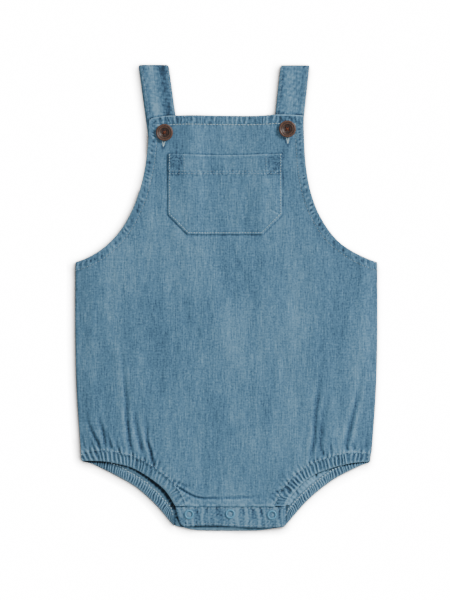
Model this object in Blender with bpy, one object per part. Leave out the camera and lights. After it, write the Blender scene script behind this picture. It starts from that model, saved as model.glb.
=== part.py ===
"""Baby's bib overalls with bubble legs, in light blue denim, laid flat with the front upwards.

Metres. +X is across the garment, +Y runs from the crotch to the shoulder folds, and +Z is up from the surface
that the garment lies on. The origin is the centre of its length and width, on that surface. Left and right are
as seen from above.
"""

import math

import bmesh
import bpy
from mathutils import Vector
from mathutils.geometry import delaunay_2d_cdt

# Cloth and the gap between touching pieces
WALL = 0.0012
SEAM_GAP = 0.0003
HEM_THICKNESS = 0.0016
PLACKET_THICKNESS = 0.0018
CASING_THICKNESS = 0.0026

# Outline of the body as it lies: the left side seam, from the underarm down
HALF_LENGTH = 0.2092
UNDERARM = (-0.1353, 0.0320)
SIDE_SEAM = (UNDERARM, (-0.1355, -0.0100), (-0.1352, -0.0500), (-0.1338, -0.0900), (-0.1303, -0.1395))
SIDE_SEAM_SECTIONS = 16
SIDE_SEAM_END = -0.1380

# Left armhole: a curve with two handles, from the bib's side down to the underarm
BIB_HALF_WIDTH = 0.0694
BIB_HEM_LINE = 0.1553
ARMHOLE_HANDLES = ((-0.0708, 0.1000), (-0.0870, 0.0460))
ARMHOLE_SECTIONS = 38
ARMHOLE_HEM_WIDTH = 0.0080
ARMHOLE_DRAW = 0.0032
ARMHOLE_DRAW_BELOW = (0.0330, 0.0520)
ARMHOLE_DRAW_ABOVE = (0.0750, 0.1550)
ARMHOLE_PUCKERS = 19
PUCKER_DEPTH = 0.0004

# Top edge of the bib, from its rounded left corner to its square right one
BIB_TOP = (
    (-0.0692, 0.1585), (-0.0668, 0.1607), (-0.0600, 0.1622), (-0.0500, 0.1632), (-0.0300, 0.1637),
    (0.0000, 0.1634), (0.0260, 0.1632), (0.0440, 0.1642), (0.0600, 0.1639), (0.0694, 0.1632),
)
BIB_PUCKERS = 24

# Free edges of the leg openings, each from left to right
FRONT_LEG_LEFT = (
    (-0.1298, -0.1462), (-0.1092, -0.1468), (-0.0975, -0.1489), (-0.0851, -0.1523), (-0.0713, -0.1598),
    (-0.0576, -0.1702), (-0.0513, -0.1778), (-0.0460, -0.1866),
)
FRONT_LEG_RIGHT = (
    (0.0530, -0.1866), (0.0574, -0.1788), (0.0617, -0.1738), (0.0695, -0.1652), (0.0810, -0.1577),
    (0.0918, -0.1537), (0.1026, -0.1505), (0.1134, -0.1483), (0.1289, -0.1470),
)
BACK_LEG_LEFT = (
    (-0.1292, -0.1470), (-0.1195, -0.1496), (-0.1024, -0.1578), (-0.0817, -0.1696), (-0.0644, -0.1847),
    (-0.0506, -0.2005), (-0.0470, -0.2045),
)
BACK_LEG_RIGHT = (
    (0.0522, -0.2052), (0.0559, -0.2011), (0.0738, -0.1810), (0.0954, -0.1637), (0.1170, -0.1523),
    (0.1285, -0.1478),
)

# Elastic casings round the legs, narrower and thinner where they bend down at the side seams
FRONT_CASING_WIDTH = 0.0097
BACK_CASING_WIDTH = 0.0088
CASING_WIDTH_AT_SIDE = 0.0068
CASING_THINNING_AT_SIDE = 0.5
CASING_NARROWS_OVER = 0.22
FRONT_CASING_GATHERS = 27
BACK_CASING_GATHERS = 29
SECTIONS_PER_GATHER = 4
GATHER_DEPTH = 0.0009
FRONT_CASING_REST = 0.0042
FRONT_CASING_REST_AT_SIDE = 0.0019
SIDE_ROLL = 0.0260
SIDE_CUT_SLANT = 0.10

# Crotch plackets: the front one lies over the back one
PLACKET_SEAM = -0.1869
FRONT_PLACKET_REST = 0.0040
FRONT_PLACKET_BOTTOM = (
    (-0.0437, -0.1961), (-0.0389, -0.2046), (-0.0200, -0.2042), (0.0000, -0.2047), (0.0180, -0.2058),
    (0.0400, -0.2063), (0.0510, -0.2054), (0.0528, -0.2036),
)
BACK_PLACKET_BOTTOM = (
    (-0.0458, -0.2049), (-0.0380, -0.2064), (-0.0300, -0.2083), (-0.0200, -0.2090), (0.0000, -HALF_LENGTH),
    (0.0180, -HALF_LENGTH), (0.0300, -0.2089), (0.0400, -0.2074), (0.0505, -0.2056),
)
PLACKET_WAVES = 9
PLACKET_WAVE_DEPTH = 0.0003
PLACKET_SPACING = 0.0048

# Press studs: name, x, y
STUDS = (("left", -0.0333, -0.1940), ("middle", 0.0035, -0.1936), ("right", 0.0408, -0.1945))
STUD_RADIUS = 0.0042
STUD_TUBE = 0.0007
STUD_SEGMENTS = 22
SOCKET_RADIUS = 0.0040
SOCKET_CHAMFER = 0.0004

# Chest pocket
POCKET_LEFT = -0.0524
POCKET_RIGHT = 0.0499
POCKET_TOP = 0.1289
POCKET_TOP_DIP = 0.0012
POCKET_BOTTOM = 0.0567
POCKET_CHAMFER = 0.0175
POCKET_HEM = 0.0192
POCKET_HEM_STEP = 0.0005
POCKET_WALL = 0.0010
POCKET_HEM_WALL = 0.0014

# Straps: buttoned behind the bib, folded over at the shoulder and sewn inside the back's top
STRAP_WIDTH = 0.0255
STRAP_LOFT = 0.0008
STRAP_LAP = 0.0220
STRAP_RAMP = 0.0090
STRAP_FRONT_END = 0.1290
BACK_TOP = 0.0970
STRAPS = {
    # side: centre at the shoulder fold, centre at the bib's top edge, sideways shift of the back layer
    "left": ((-0.0648, 0.2092), (-0.0584, 0.1624), -0.0012),
    "right": ((0.0617, 0.2088), (0.0569, 0.1642), 0.0),
}

# Buttons: the straps button through the bib under them
BUTTONS = {"left": (-0.0555, 0.1479), "right": (0.0546, 0.1510)}
BUTTON_HOLE_RADIUS = 0.0010
BUTTON_HOLE_PITCH = 0.0026
BUTTON_PROFILE = (
    # radius, height above the button's foot
    (0.0032, 0.0000), (0.0062, 0.0007), (0.0075, 0.0014), (0.0076, 0.0022), (0.0070, 0.0029),
    (0.0062, 0.0029), (0.0054, 0.0024), (0.0044, 0.0025), (0.0034, 0.0018),
)
BUTTON_SEGMENTS = 28

# How the front lies over the back and the straps
FRONT_REST = WALL + SEAM_GAP
BODY_LOFT = 0.0020
EDGE_ROLL = 0.0160
CASING_RISE_REACH = 0.0300
CROTCH_HALF_WIDTH = 0.0500
STRAP_SLOPE = (0.0140, 0.0335)
STRAP_SLOPE_START = (0.0480, 0.0640)
STRAP_SLOPE_STEP = 0.0110

# Creases in the front: depth, half width, and path dying out towards its last point
CREASES = (
    (0.0008, 0.0018, ((-0.1262, -0.1362), (-0.1305, -0.1180))),
    (0.0013, 0.0020, ((-0.1114, -0.1350), (-0.1228, -0.1120))),
    (0.0013, 0.0020, ((-0.1021, -0.1350), (-0.1136, -0.1080))),
    (0.0014, 0.0027, ((-0.0855, -0.1390), (-0.0905, -0.0930), (-0.0990, -0.0230))),
    (0.0011, 0.0019, ((-0.0757, -0.1400), (-0.0826, -0.1090))),
    (0.0016, 0.0020, ((-0.0662, -0.1470), (-0.0720, -0.1150))),
    (0.0015, 0.0027, ((0.0765, -0.1430), (0.0790, -0.1100), (0.0891, -0.0450))),
    (0.0010, 0.0023, ((0.0850, -0.1370), (0.0926, -0.0700))),
    (0.0014, 0.0026, ((0.1053, -0.1350), (0.1180, -0.0900), (0.1270, -0.0360))),
    (0.0008, 0.0017, ((0.0960, -0.1370), (0.0990, -0.1180))),
    (0.0008, 0.0017, ((0.1180, -0.1340), (0.1240, -0.1130))),
    (0.0014, 0.0023, ((-0.0470, -0.1680), (-0.0300, -0.1780), (-0.0060, -0.1795), (0.0300, -0.1788))),
    (0.0010, 0.0019, ((0.0500, -0.1700), (0.0340, -0.1755))),
)
CREASE_STEP = 0.0070
CREASE_RAILS = (-1.8, -0.9, 0.0, 0.9, 1.8)
CREASE_REACH = 4.0
CREASE_RIDGE = 0.55

# Mesh density
PANEL_SPACING = 0.0115
BACK_SPACING = 0.0230
POCKET_SPACING = 0.0105
CLEAR_OF_POINTS = 0.45
CLEAR_OF_LINES = 0.0012
HEM_SEAM_STOPS = (0.0, 0.0140, 0.0240, 0.0335, 0.0500)
CROTCH_SEAM_STOPS = (-0.024, -0.012, 0.0, 0.012, 0.024)
CDT_INSIDE = 1
MERGE_DISTANCE = 1e-7
SHARP_ANGLE = math.radians(50)

# Name, colour and roughness of each finish
DENIM = ("denim", (0.115, 0.235, 0.340, 1.0), 0.85)
PLACKET_DENIM = ("denim_placket", (0.085, 0.190, 0.290, 1.0), 0.85)
COCONUT = ("coconut", (0.085, 0.035, 0.020, 1.0), 0.45)
STUD_ENAMEL = ("stud_enamel", (0.130, 0.290, 0.400, 1.0), 0.40)


def smoothstep(low, high, value):
    """0 below low, 1 above high and a soft S between them."""
    t = max(0.0, min(1.0, (value - low) / (high - low)))
    return t * t * (3.0 - 2.0 * t)


def evenly_spaced(points, count):
    """count + 1 points at equal steps of length along a polyline."""
    lengths = [0.0]
    for a, b in zip(points, points[1:]):
        lengths.append(lengths[-1] + math.dist(a, b))
    found, i = [], 0
    for k in range(count + 1):
        target = lengths[-1] * k / count
        while i < len(points) - 2 and lengths[i + 1] < target:
            i += 1
        t = (target - lengths[i]) / (lengths[i + 1] - lengths[i])
        a, b = points[i], points[i + 1]
        found.append((a[0] + (b[0] - a[0]) * t, a[1] + (b[1] - a[1]) * t))
    return found


def smooth_curve(points, count, steps=12):
    """count + 1 evenly spaced points on a Catmull-Rom curve through the given points."""
    first = tuple(2 * a - b for a, b in zip(points[0], points[1]))
    last = tuple(2 * a - b for a, b in zip(points[-1], points[-2]))
    guides = [first, *points, last]
    dense = []
    for p0, p1, p2, p3 in zip(guides, guides[1:], guides[2:], guides[3:]):
        for k in range(steps):
            t = k / steps
            weights = (
                -t + 2 * t ** 2 - t ** 3, 2 - 5 * t ** 2 + 3 * t ** 3, t + 4 * t ** 2 - 3 * t ** 3, t ** 3 - t ** 2,
            )
            corners = (p0, p1, p2, p3)
            dense.append(tuple(sum(w * p[axis] for w, p in zip(weights, corners)) / 2 for axis in (0, 1)))
    dense.append(tuple(points[-1]))
    return evenly_spaced(dense, count)


def handle_curve(start, handles, end, count, steps=120):
    """count + 1 evenly spaced points on a cubic curve with two handles."""
    dense = []
    for k in range(steps + 1):
        t = k / steps
        weights = ((1 - t) ** 3, 3 * (1 - t) ** 2 * t, 3 * (1 - t) * t ** 2, t ** 3)
        dense.append(tuple(sum(w * p[axis] for w, p in zip(weights, (start, *handles, end))) for axis in (0, 1)))
    return evenly_spaced(dense, count)


def drawn_in(y):
    """How much further in the right armhole lies than a mirror image of the left one, at height y."""
    return ARMHOLE_DRAW * smoothstep(*ARMHOLE_DRAW_BELOW, y) * (1 - smoothstep(*ARMHOLE_DRAW_ABOVE, y))


def mirrored(points):
    """The same edge on the garment's right, in the reversed order, with the armhole a little further in."""
    return [(-x - drawn_in(y), y) for x, y in reversed(points)]


def every_few(points, step):
    """Every step-th point, always with the last one."""
    return points[:-1:step] + [points[-1]]


def inward(edge, width, first_cut=None, last_cut=None, blend=0.16):
    """The edge moved to the left of its direction by width(t), t from 0 to 1 along it.

    A cut is the direction in which that end runs, and the edge turns towards it over the share called blend.
    """
    count = len(edge) - 1
    moved = []
    for k, (x, y) in enumerate(edge):
        t = k / count
        ahead, behind = edge[min(k + 1, count)], edge[max(k - 1, 0)]
        along = Vector((ahead[0] - behind[0], ahead[1] - behind[1])).normalized()
        normal = Vector((-along.y, along.x))
        for cut, share in ((first_cut, 1 - t / blend), (last_cut, 1 - (1 - t) / blend)):
            if cut and share > 0:
                normal = normal.lerp(Vector(cut).normalized(), share).normalized()
        moved.append((x + normal.x * width(t), y + normal.y * width(t)))
    return moved


def steady(value):
    """A width or thickness that is the same all along."""
    return lambda t: value


def puckered(thickness, puckers, depth):
    """A thickness that dips at even steps along, as cloth does between the stitches that draw it in."""
    return lambda t: thickness - depth * (0.5 - 0.5 * math.cos(2 * math.pi * puckers * t))


def inside(point, outline):
    """Whether a point lies inside a closed outline."""
    x, y = point
    found = False
    for (x0, y0), (x1, y1) in zip(outline, outline[1:] + outline[:1]):
        if (y0 > y) != (y1 > y) and x < (x1 - x0) * (y - y0) / (y1 - y0) + x0:
            found = not found
    return found


def nearest_on_path(x, y, path):
    """Distance from a point to an open path, and the share of the path's length at the nearest place."""
    best, where, travelled = math.inf, 0.0, 0.0
    total = sum(math.dist(a, b) for a, b in zip(path, path[1:]))
    for (x0, y0), (x1, y1) in zip(path, path[1:]):
        dx, dy = x1 - x0, y1 - y0
        length = math.hypot(dx, dy)
        t = max(0.0, min(1.0, ((x - x0) * dx + (y - y0) * dy) / (length * length)))
        distance = math.hypot(x - x0 - dx * t, y - y0 - dy * t)
        if distance < best:
            best, where = distance, (travelled + length * t) / total
        travelled += length
    return best, where


def x_at(y, edge):
    """The x of an edge that runs one way in y, at the height y, held at its ends."""
    downward = edge if edge[0][1] > edge[-1][1] else edge[::-1]
    for (x0, y0), (x1, y1) in zip(downward, downward[1:]):
        if y1 <= y <= y0:
            return x0 + (x1 - x0) * (y - y0) / (y1 - y0)
    return downward[0][0] if y > downward[0][1] else downward[-1][0]


def y_at(x, edge):
    """The y of an edge that runs from left to right, at x, held at its ends."""
    for (x0, y0), (x1, y1) in zip(edge, edge[1:]):
        if x0 <= x <= x1:
            return y0 + (y1 - y0) * (x - x0) / (x1 - x0)
    return edge[0][1] if x < edge[0][0] else edge[-1][1]


def interior_points(outline, spacing, lines=(), around=()):
    """Staggered rows of points inside an outline, and the given points of lines in it, none inside around."""
    xs, ys = [p[0] for p in outline], [p[1] for p in outline]
    rim = outline + outline[:1]
    hole = list(around)
    kept = [
        p for p in lines
        if inside(p, outline) and nearest_on_path(*p, rim)[0] > CLEAR_OF_LINES
        and not (hole and (inside(p, hole) or nearest_on_path(*p, hole)[0] < CLEAR_OF_LINES))
    ]
    fixed = [*kept, *around]
    row_height = spacing * math.sqrt(3) / 2
    for row in range(int((max(ys) - min(ys)) / row_height) + 1):
        y = min(ys) + (row + 0.5) * row_height
        for column in range(int((max(xs) - min(xs)) / spacing) + 1):
            point = (min(xs) + (column + 0.5 * (row % 2)) * spacing, y)
            if not inside(point, outline) or nearest_on_path(*point, rim)[0] < CLEAR_OF_POINTS * spacing:
                continue
            if hole and inside(point, hole):
                continue
            if all(math.dist(point, other) > CLEAR_OF_POINTS * spacing for other in fixed):
                kept.append(point)
    return kept


def crease_points():
    """Points along each crease and its flanks, so that the mesh follows the fold lines."""
    found = []
    for _, half_width, path in CREASES:
        length = sum(math.dist(a, b) for a, b in zip(path, path[1:]))
        line = evenly_spaced(path, max(2, round(length / CREASE_STEP)))
        for rail in CREASE_RAILS:
            found += inward(line, steady(rail * half_width))
    return found


def strap_slope_points():
    """Points along both sides of the slope where the bib rises over each strap."""
    rows = int((BIB_HEM_LINE - STRAP_SLOPE_START[1]) / STRAP_SLOPE_STEP) + 1
    return [
        (side * x, STRAP_SLOPE_START[1] + row * STRAP_SLOPE_STEP)
        for row in range(rows) for x in STRAP_SLOPE for side in (-1, 1)
    ]


def material(finish):
    """A Principled material with a base colour and a roughness."""
    name, colour, roughness = finish
    made = bpy.data.materials.get(name)
    if made is None:
        made = bpy.data.materials.new(name)
        made.use_nodes = True
        made.diffuse_color = colour
        shader = made.node_tree.nodes["Principled BSDF"]
        shader.inputs["Base Color"].default_value = colour
        shader.inputs["Roughness"].default_value = roughness
        shader.inputs["Metallic"].default_value = 0.0
    return made


def add_piece(name, points, faces, finish):
    """A mesh object parented to the garment's empty, with its faces turned outwards."""
    mesh = bpy.data.meshes.new(name)
    mesh.from_pydata(points, [], faces)
    body = bmesh.new()
    body.from_mesh(mesh)
    bmesh.ops.recalc_face_normals(body, faces=body.faces)
    body.to_mesh(mesh)
    body.free()
    mesh.shade_smooth()
    mesh.set_sharp_from_angle(angle=SHARP_ANGLE)
    mesh.materials.append(material(finish))
    piece = bpy.data.objects.new(name, mesh)
    bpy.context.scene.collection.objects.link(piece)
    piece.parent = bpy.data.objects["overalls"]
    return piece


def ringed_faces(rings, size, closed=False):
    """Faces that join rings of equal size one after the other, with end caps unless the last meets the first."""
    faces = []
    for k in range(rings if closed else rings - 1):
        here, there = k * size, (k + 1) % rings * size
        for j in range(size):
            step = (j + 1) % size
            faces.append((here + j, here + step, there + step, there + j))
    if not closed:
        faces.append(tuple(range(size)))
        faces.append(tuple(reversed(range((rings - 1) * size, rings * size))))
    return faces


def cloth_wall(name, outline, points, underside, thickness, finish=DENIM, laid_on=()):
    """A closed wall of cloth over a flat outline, whose two faces share one triangulation.

    laid_on is the outline of a piece that lies on this one, and the triangulation follows it.
    """
    corners = [Vector(p) for p in (*outline, *laid_on, *points)]
    first = len(outline)
    seam = [(first + k, first + (k + 1) % len(laid_on)) for k in range(len(laid_on))]
    flat, _, triangles, *_ = delaunay_2d_cdt(corners, seam, [list(range(first))], CDT_INSIDE, MERGE_DISTANCE)
    low = [(p.x, p.y, underside(p.x, p.y)) for p in flat]
    high = [(x, y, z + thickness(x, y)) for x, y, z in low]
    count = len(flat)
    edges = {edge for a, b, c in triangles for edge in ((a, b), (b, c), (c, a))}
    faces = [tuple(reversed(t)) for t in triangles]
    faces += [tuple(i + count for i in t) for t in triangles]
    faces += [(a, b, b + count, a + count) for a, b in sorted(edges) if (b, a) not in edges]
    return add_piece(name, low + high, faces, finish)


def sewn_strip(name, free_edge, seam_edge, underside, height, finish=DENIM):
    """A closed strip from its free edge to its seam, rounded on top, with height(t) as its thickness along it."""
    section = ((0.0, 0.0), (1.0, 0.0), (1.0, 0.70), (0.80, 1.0), (0.22, 1.0), (0.0, 0.55))
    count = len(free_edge)
    points = []
    for k, (outer, inner) in enumerate(zip(free_edge, seam_edge)):
        thick = height(k / (count - 1))
        for across, up in section:
            x = outer[0] + (inner[0] - outer[0]) * across
            y = outer[1] + (inner[1] - outer[1]) * across
            points.append((x, y, underside(x, y) + thick * up))
    return add_piece(name, points, ringed_faces(count, len(section)), finish)


def turned_piece(name, profile, place, segments, finish):
    """A closed solid of revolution about a vertical axis, from pairs of radius and height."""
    points = []
    for radius, z in profile:
        for k in range(segments):
            turn = 2 * math.pi * k / segments
            points.append((place[0] + radius * math.cos(turn), place[1] + radius * math.sin(turn), place[2] + z))
    return add_piece(name, points, ringed_faces(len(profile), segments), finish)


def on_the_surface(x, y):
    """The underside of what lies on the surface."""
    return 0.0


def armhole_edge(count=ARMHOLE_SECTIONS):
    """The left armhole's free edge, from the bib's hem down to the underarm."""
    return handle_curve((-BIB_HALF_WIDTH, BIB_HEM_LINE - SEAM_GAP), ARMHOLE_HANDLES, UNDERARM, count)


def away_from_side(t, side):
    """How far a casing has left the side seam, from 0 at the seam to 1, at t along it from left to right."""
    return smoothstep(0.0, CASING_NARROWS_OVER, t if side == "left" else 1 - t)


def casing_rails(points, gathers, full_width, side, crotch_cut):
    """A casing's free edge and seam, and the edge of the panel that is sewn to it."""
    def width(t):
        return CASING_WIDTH_AT_SIDE + (full_width - CASING_WIDTH_AT_SIDE) * away_from_side(t, side)

    free = smooth_curve(points, gathers * SECTIONS_PER_GATHER)
    cuts = ((-SIDE_CUT_SLANT, 1.0), crotch_cut) if side == "left" else (crotch_cut, (SIDE_CUT_SLANT, 1.0))
    seam = inward(free, width, *cuts)
    panel = inward(free, lambda t: width(t) + SEAM_GAP, *cuts)
    return free, seam, panel


FRONT_CASINGS = {
    "left": casing_rails(FRONT_LEG_LEFT, FRONT_CASING_GATHERS, FRONT_CASING_WIDTH, "left", (1.0, 0.0)),
    "right": casing_rails(FRONT_LEG_RIGHT, FRONT_CASING_GATHERS, FRONT_CASING_WIDTH, "right", (-1.0, 0.0)),
}
BACK_CASINGS = {
    "left": casing_rails(BACK_LEG_LEFT, BACK_CASING_GATHERS, BACK_CASING_WIDTH, "left", (-0.1, 1.0)),
    "right": casing_rails(BACK_LEG_RIGHT, BACK_CASING_GATHERS, BACK_CASING_WIDTH, "right", (0.0, 1.0)),
}
FRONT_CASING_SEAMS = [every_few(rails[2], 3 * SECTIONS_PER_GATHER) for rails in FRONT_CASINGS.values()]
SIDE_EDGE = smooth_curve(SIDE_SEAM, SIDE_SEAM_SECTIONS)


def from_side_edge(x, y):
    """How far a place is from the nearer side edge of the garment."""
    return abs(x_at(y, SIDE_EDGE)) - abs(x)


def crease_depth(x, y):
    """How far the creases press the front down at a place, with a soft ridge on each side of a trough."""
    total = 0.0
    for depth, half_width, path in CREASES:
        distance, along = nearest_on_path(x, y, path)
        r = distance / half_width
        if r < CREASE_REACH:
            fade = 0.5 + 0.5 * math.cos(math.pi * along)
            total += depth * fade * (1 - CREASE_RIDGE * r * r) * math.exp(-0.5 * r * r)
    return total


def front_casing_underside(x, y):
    """Height of the front casings' undersides, which come down to the back's at the side seams."""
    rise = smoothstep(0.0, SIDE_ROLL, from_side_edge(x, y))
    return FRONT_CASING_REST_AT_SIDE + (FRONT_CASING_REST - FRONT_CASING_REST_AT_SIDE) * rise


def front_underside(x, y):
    """Height of the front's inner face: its loft over the back, its rise over the straps and to the casings."""
    from_side = from_side_edge(x, y)
    below_straps = 1 - smoothstep(*STRAP_SLOPE_START, y)
    height = FRONT_REST + BODY_LOFT * smoothstep(0.0, EDGE_ROLL, from_side) * below_straps
    over_strap = 2 * WALL + STRAP_LOFT + SEAM_GAP - FRONT_REST
    height += over_strap * smoothstep(*STRAP_SLOPE, abs(x)) * (1 - below_straps)
    from_legs = min(nearest_on_path(x, y, seam)[0] for seam in FRONT_CASING_SEAMS)
    if abs(x) < CROTCH_HALF_WIDTH:
        from_legs = min(from_legs, y - PLACKET_SEAM)
    centred = (CASING_THICKNESS - WALL) / 2 * smoothstep(0.0, SIDE_ROLL, from_side)
    at_casing = front_casing_underside(x, y) + centred
    height += (at_casing - height) * (1 - smoothstep(0.0, CASING_RISE_REACH, from_legs))
    return height - crease_depth(x, y)


def front_upper(x, y):
    """Height of the front's outer face."""
    return front_underside(x, y) + WALL


def pocket_outline():
    """The chest pocket's edge, anticlockwise from its top right corner, with both lower corners cut off."""
    middle = (POCKET_LEFT + POCKET_RIGHT) / 2
    rim = ((POCKET_RIGHT, POCKET_TOP), (middle, POCKET_TOP - POCKET_TOP_DIP), (POCKET_LEFT, POCKET_TOP))
    hem_y = POCKET_TOP - POCKET_HEM
    left = [
        (POCKET_LEFT, hem_y), (POCKET_LEFT, hem_y - POCKET_HEM_STEP),
        (POCKET_LEFT, POCKET_BOTTOM + POCKET_CHAMFER), (POCKET_LEFT + POCKET_CHAMFER, POCKET_BOTTOM),
    ]
    right = [(2 * middle - x, y) for x, y in reversed(left)]
    return smooth_curve(rim, 8) + left + right


def pocket_thickness(x, y):
    """The pocket is thicker where its hem is turned."""
    return POCKET_HEM_WALL if y > POCKET_TOP - POCKET_HEM - POCKET_HEM_STEP / 2 else POCKET_WALL


def make_pocket():
    """A patch pocket with a turned hem. Returns the outline and points that the front shares with it."""
    outline = pocket_outline()
    hem_y = POCKET_TOP - POCKET_HEM
    hem_rows = [
        (POCKET_LEFT + (POCKET_RIGHT - POCKET_LEFT) * k / 10, hem_y - drop)
        for k in range(1, 10) for drop in (0.0, POCKET_HEM_STEP)
    ]
    points = interior_points(outline, POCKET_SPACING, hem_rows + strap_slope_points())
    cloth_wall("chest_pocket", outline, points, lambda x, y: front_upper(x, y) + SEAM_GAP, pocket_thickness)
    return outline, points


def make_front(pocket_edge, pocket_points):
    """The bib and body, cut in one, with the edges that the hems, casings and placket are sewn to."""
    arm = inward(armhole_edge(), steady(ARMHOLE_HEM_WIDTH + SEAM_GAP), None, (0.0, -1.0))
    arm = every_few(arm, 2)
    side = [p for p in SIDE_EDGE if arm[-1][1] - ARMHOLE_HEM_WIDTH / 2 > p[1] > SIDE_SEAM_END]
    left_leg = every_few(FRONT_CASINGS["left"][2], SECTIONS_PER_GATHER)
    right_leg = every_few(FRONT_CASINGS["right"][2], SECTIONS_PER_GATHER)
    crotch = PLACKET_SEAM + SEAM_GAP
    outline = arm + side + left_leg[:-1] + [(left_leg[-1][0], crotch)] + [(x, crotch) for x in CROTCH_SEAM_STOPS]
    outline += [(right_leg[0][0], crotch)] + right_leg[1:] + mirrored(side) + mirrored(arm)
    stops = [*reversed(HEM_SEAM_STOPS), *(-x for x in HEM_SEAM_STOPS[1:])]
    outline += [(x, BIB_HEM_LINE - SEAM_GAP) for x in stops]
    lines = crease_points() + strap_slope_points()
    points = interior_points(outline, PANEL_SPACING, lines, pocket_edge) + pocket_points
    cloth_wall("front_panel", outline, points, front_underside, lambda x, y: WALL, laid_on=pocket_edge)


def make_back():
    """The back, which lies on the surface and is cut lower at the top than the bib."""
    seam = inward(armhole_edge(), steady(ARMHOLE_HEM_WIDTH + 2 * SEAM_GAP), None, (0.0, -1.0))
    top_y = BACK_TOP - ARMHOLE_HEM_WIDTH - SEAM_GAP
    arm = [(x_at(top_y, seam), top_y)] + every_few([p for p in seam if p[1] < top_y - ARMHOLE_HEM_WIDTH / 4], 2)
    side = [(x + SEAM_GAP, y) for x, y in SIDE_EDGE if arm[-1][1] - ARMHOLE_HEM_WIDTH / 2 > y > SIDE_SEAM_END]
    crotch = PLACKET_SEAM + SEAM_GAP
    legs = {}
    for name, rails in BACK_CASINGS.items():
        legs[name] = [p for p in every_few(rails[2], 2 * SECTIONS_PER_GATHER) if p[1] > crotch + 0.002]
    outline = arm + side + legs["left"] + [(x_at(crotch, BACK_CASINGS["left"][2]), crotch)]
    outline += [(x_at(crotch, BACK_CASINGS["right"][2]), crotch)] + legs["right"] + mirrored(side) + mirrored(arm)
    cloth_wall("back_panel", outline, interior_points(outline, BACK_SPACING), on_the_surface, lambda x, y: WALL)


def make_front_hems():
    """The turned hems of the front's armholes and of the bib's top, drawn in by their stitches."""
    free = armhole_edge()
    seam = inward(free, steady(ARMHOLE_HEM_WIDTH), None, (0.0, -1.0))
    height = puckered(HEM_THICKNESS, ARMHOLE_PUCKERS, PUCKER_DEPTH)
    sewn_strip("front_armhole_hem_left", free, seam, front_underside, height)
    sewn_strip("front_armhole_hem_right", mirrored(free), mirrored(seam), front_underside, height)

    sections = 2 * BIB_PUCKERS
    top_curve = smooth_curve(BIB_TOP, sections)
    across = [BIB_HALF_WIDTH * (1 - 2 * k / sections) for k in range(sections + 1)]
    top = [(x, y_at(x, top_curve)) for x in across]
    foot = [(x, BIB_HEM_LINE + SEAM_GAP) for x in across]
    sewn_strip("bib_hem", top, foot, front_underside, puckered(HEM_THICKNESS, BIB_PUCKERS, PUCKER_DEPTH))


def make_back_hems():
    """The turned hems of the back's armholes and top, which lie on the surface."""
    free = inward(armhole_edge(2 * ARMHOLE_SECTIONS), steady(SEAM_GAP), None, (0.0, -1.0))
    seam = inward(free, steady(ARMHOLE_HEM_WIDTH - SEAM_GAP), None, (0.0, -1.0))
    kept = every_few([pair for pair in zip(free, seam) if max(pair[0][1], pair[1][1]) < BACK_TOP], 4)
    free, seam = [pair[0] for pair in kept], [pair[1] for pair in kept]
    sewn_strip("back_armhole_hem_left", free, seam, on_the_surface, steady(WALL))
    sewn_strip("back_armhole_hem_right", mirrored(free), mirrored(seam), on_the_surface, steady(WALL))

    half = abs(x_at(BACK_TOP, seam)) - SEAM_GAP
    right = half - drawn_in(BACK_TOP - ARMHOLE_HEM_WIDTH)
    across = [right - (right + half) * k / 12 for k in range(13)]
    top = [(x, BACK_TOP) for x in across]
    foot = [(x, BACK_TOP - ARMHOLE_HEM_WIDTH) for x in across]
    sewn_strip("back_top_hem", top, foot, on_the_surface, steady(WALL))


def gathered(gathers, side):
    """A casing's thickness along it: its gathers, flattened towards the side seam."""
    waves = puckered(CASING_THICKNESS + GATHER_DEPTH / 2, gathers, GATHER_DEPTH)
    return lambda t: waves(t) * (1 - CASING_THINNING_AT_SIDE * (1 - away_from_side(t, side)))


def make_casings():
    """Four gathered elastic casings. The front ones stand clear of the back ones, which lie on the surface."""
    for side, (free, seam, _) in FRONT_CASINGS.items():
        height = gathered(FRONT_CASING_GATHERS, side)
        sewn_strip(f"front_leg_casing_{side}", free, seam, front_casing_underside, height)
    for side, (free, seam, _) in BACK_CASINGS.items():
        sewn_strip(f"back_leg_casing_{side}", free, seam, on_the_surface, gathered(BACK_CASING_GATHERS, side))


def placket_thickness(x, y):
    """Thickness of the front placket, with its soft waves between the press studs."""
    wave = 0.5 - 0.5 * math.cos(2 * math.pi * PLACKET_WAVES * x / (2 * CROTCH_HALF_WIDTH))
    from_stud = min(math.dist((x, y), (sx, sy)) for _, sx, sy in STUDS)
    return PLACKET_THICKNESS - PLACKET_WAVE_DEPTH * wave * smoothstep(STUD_RADIUS, 2 * STUD_RADIUS, from_stud)


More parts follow.
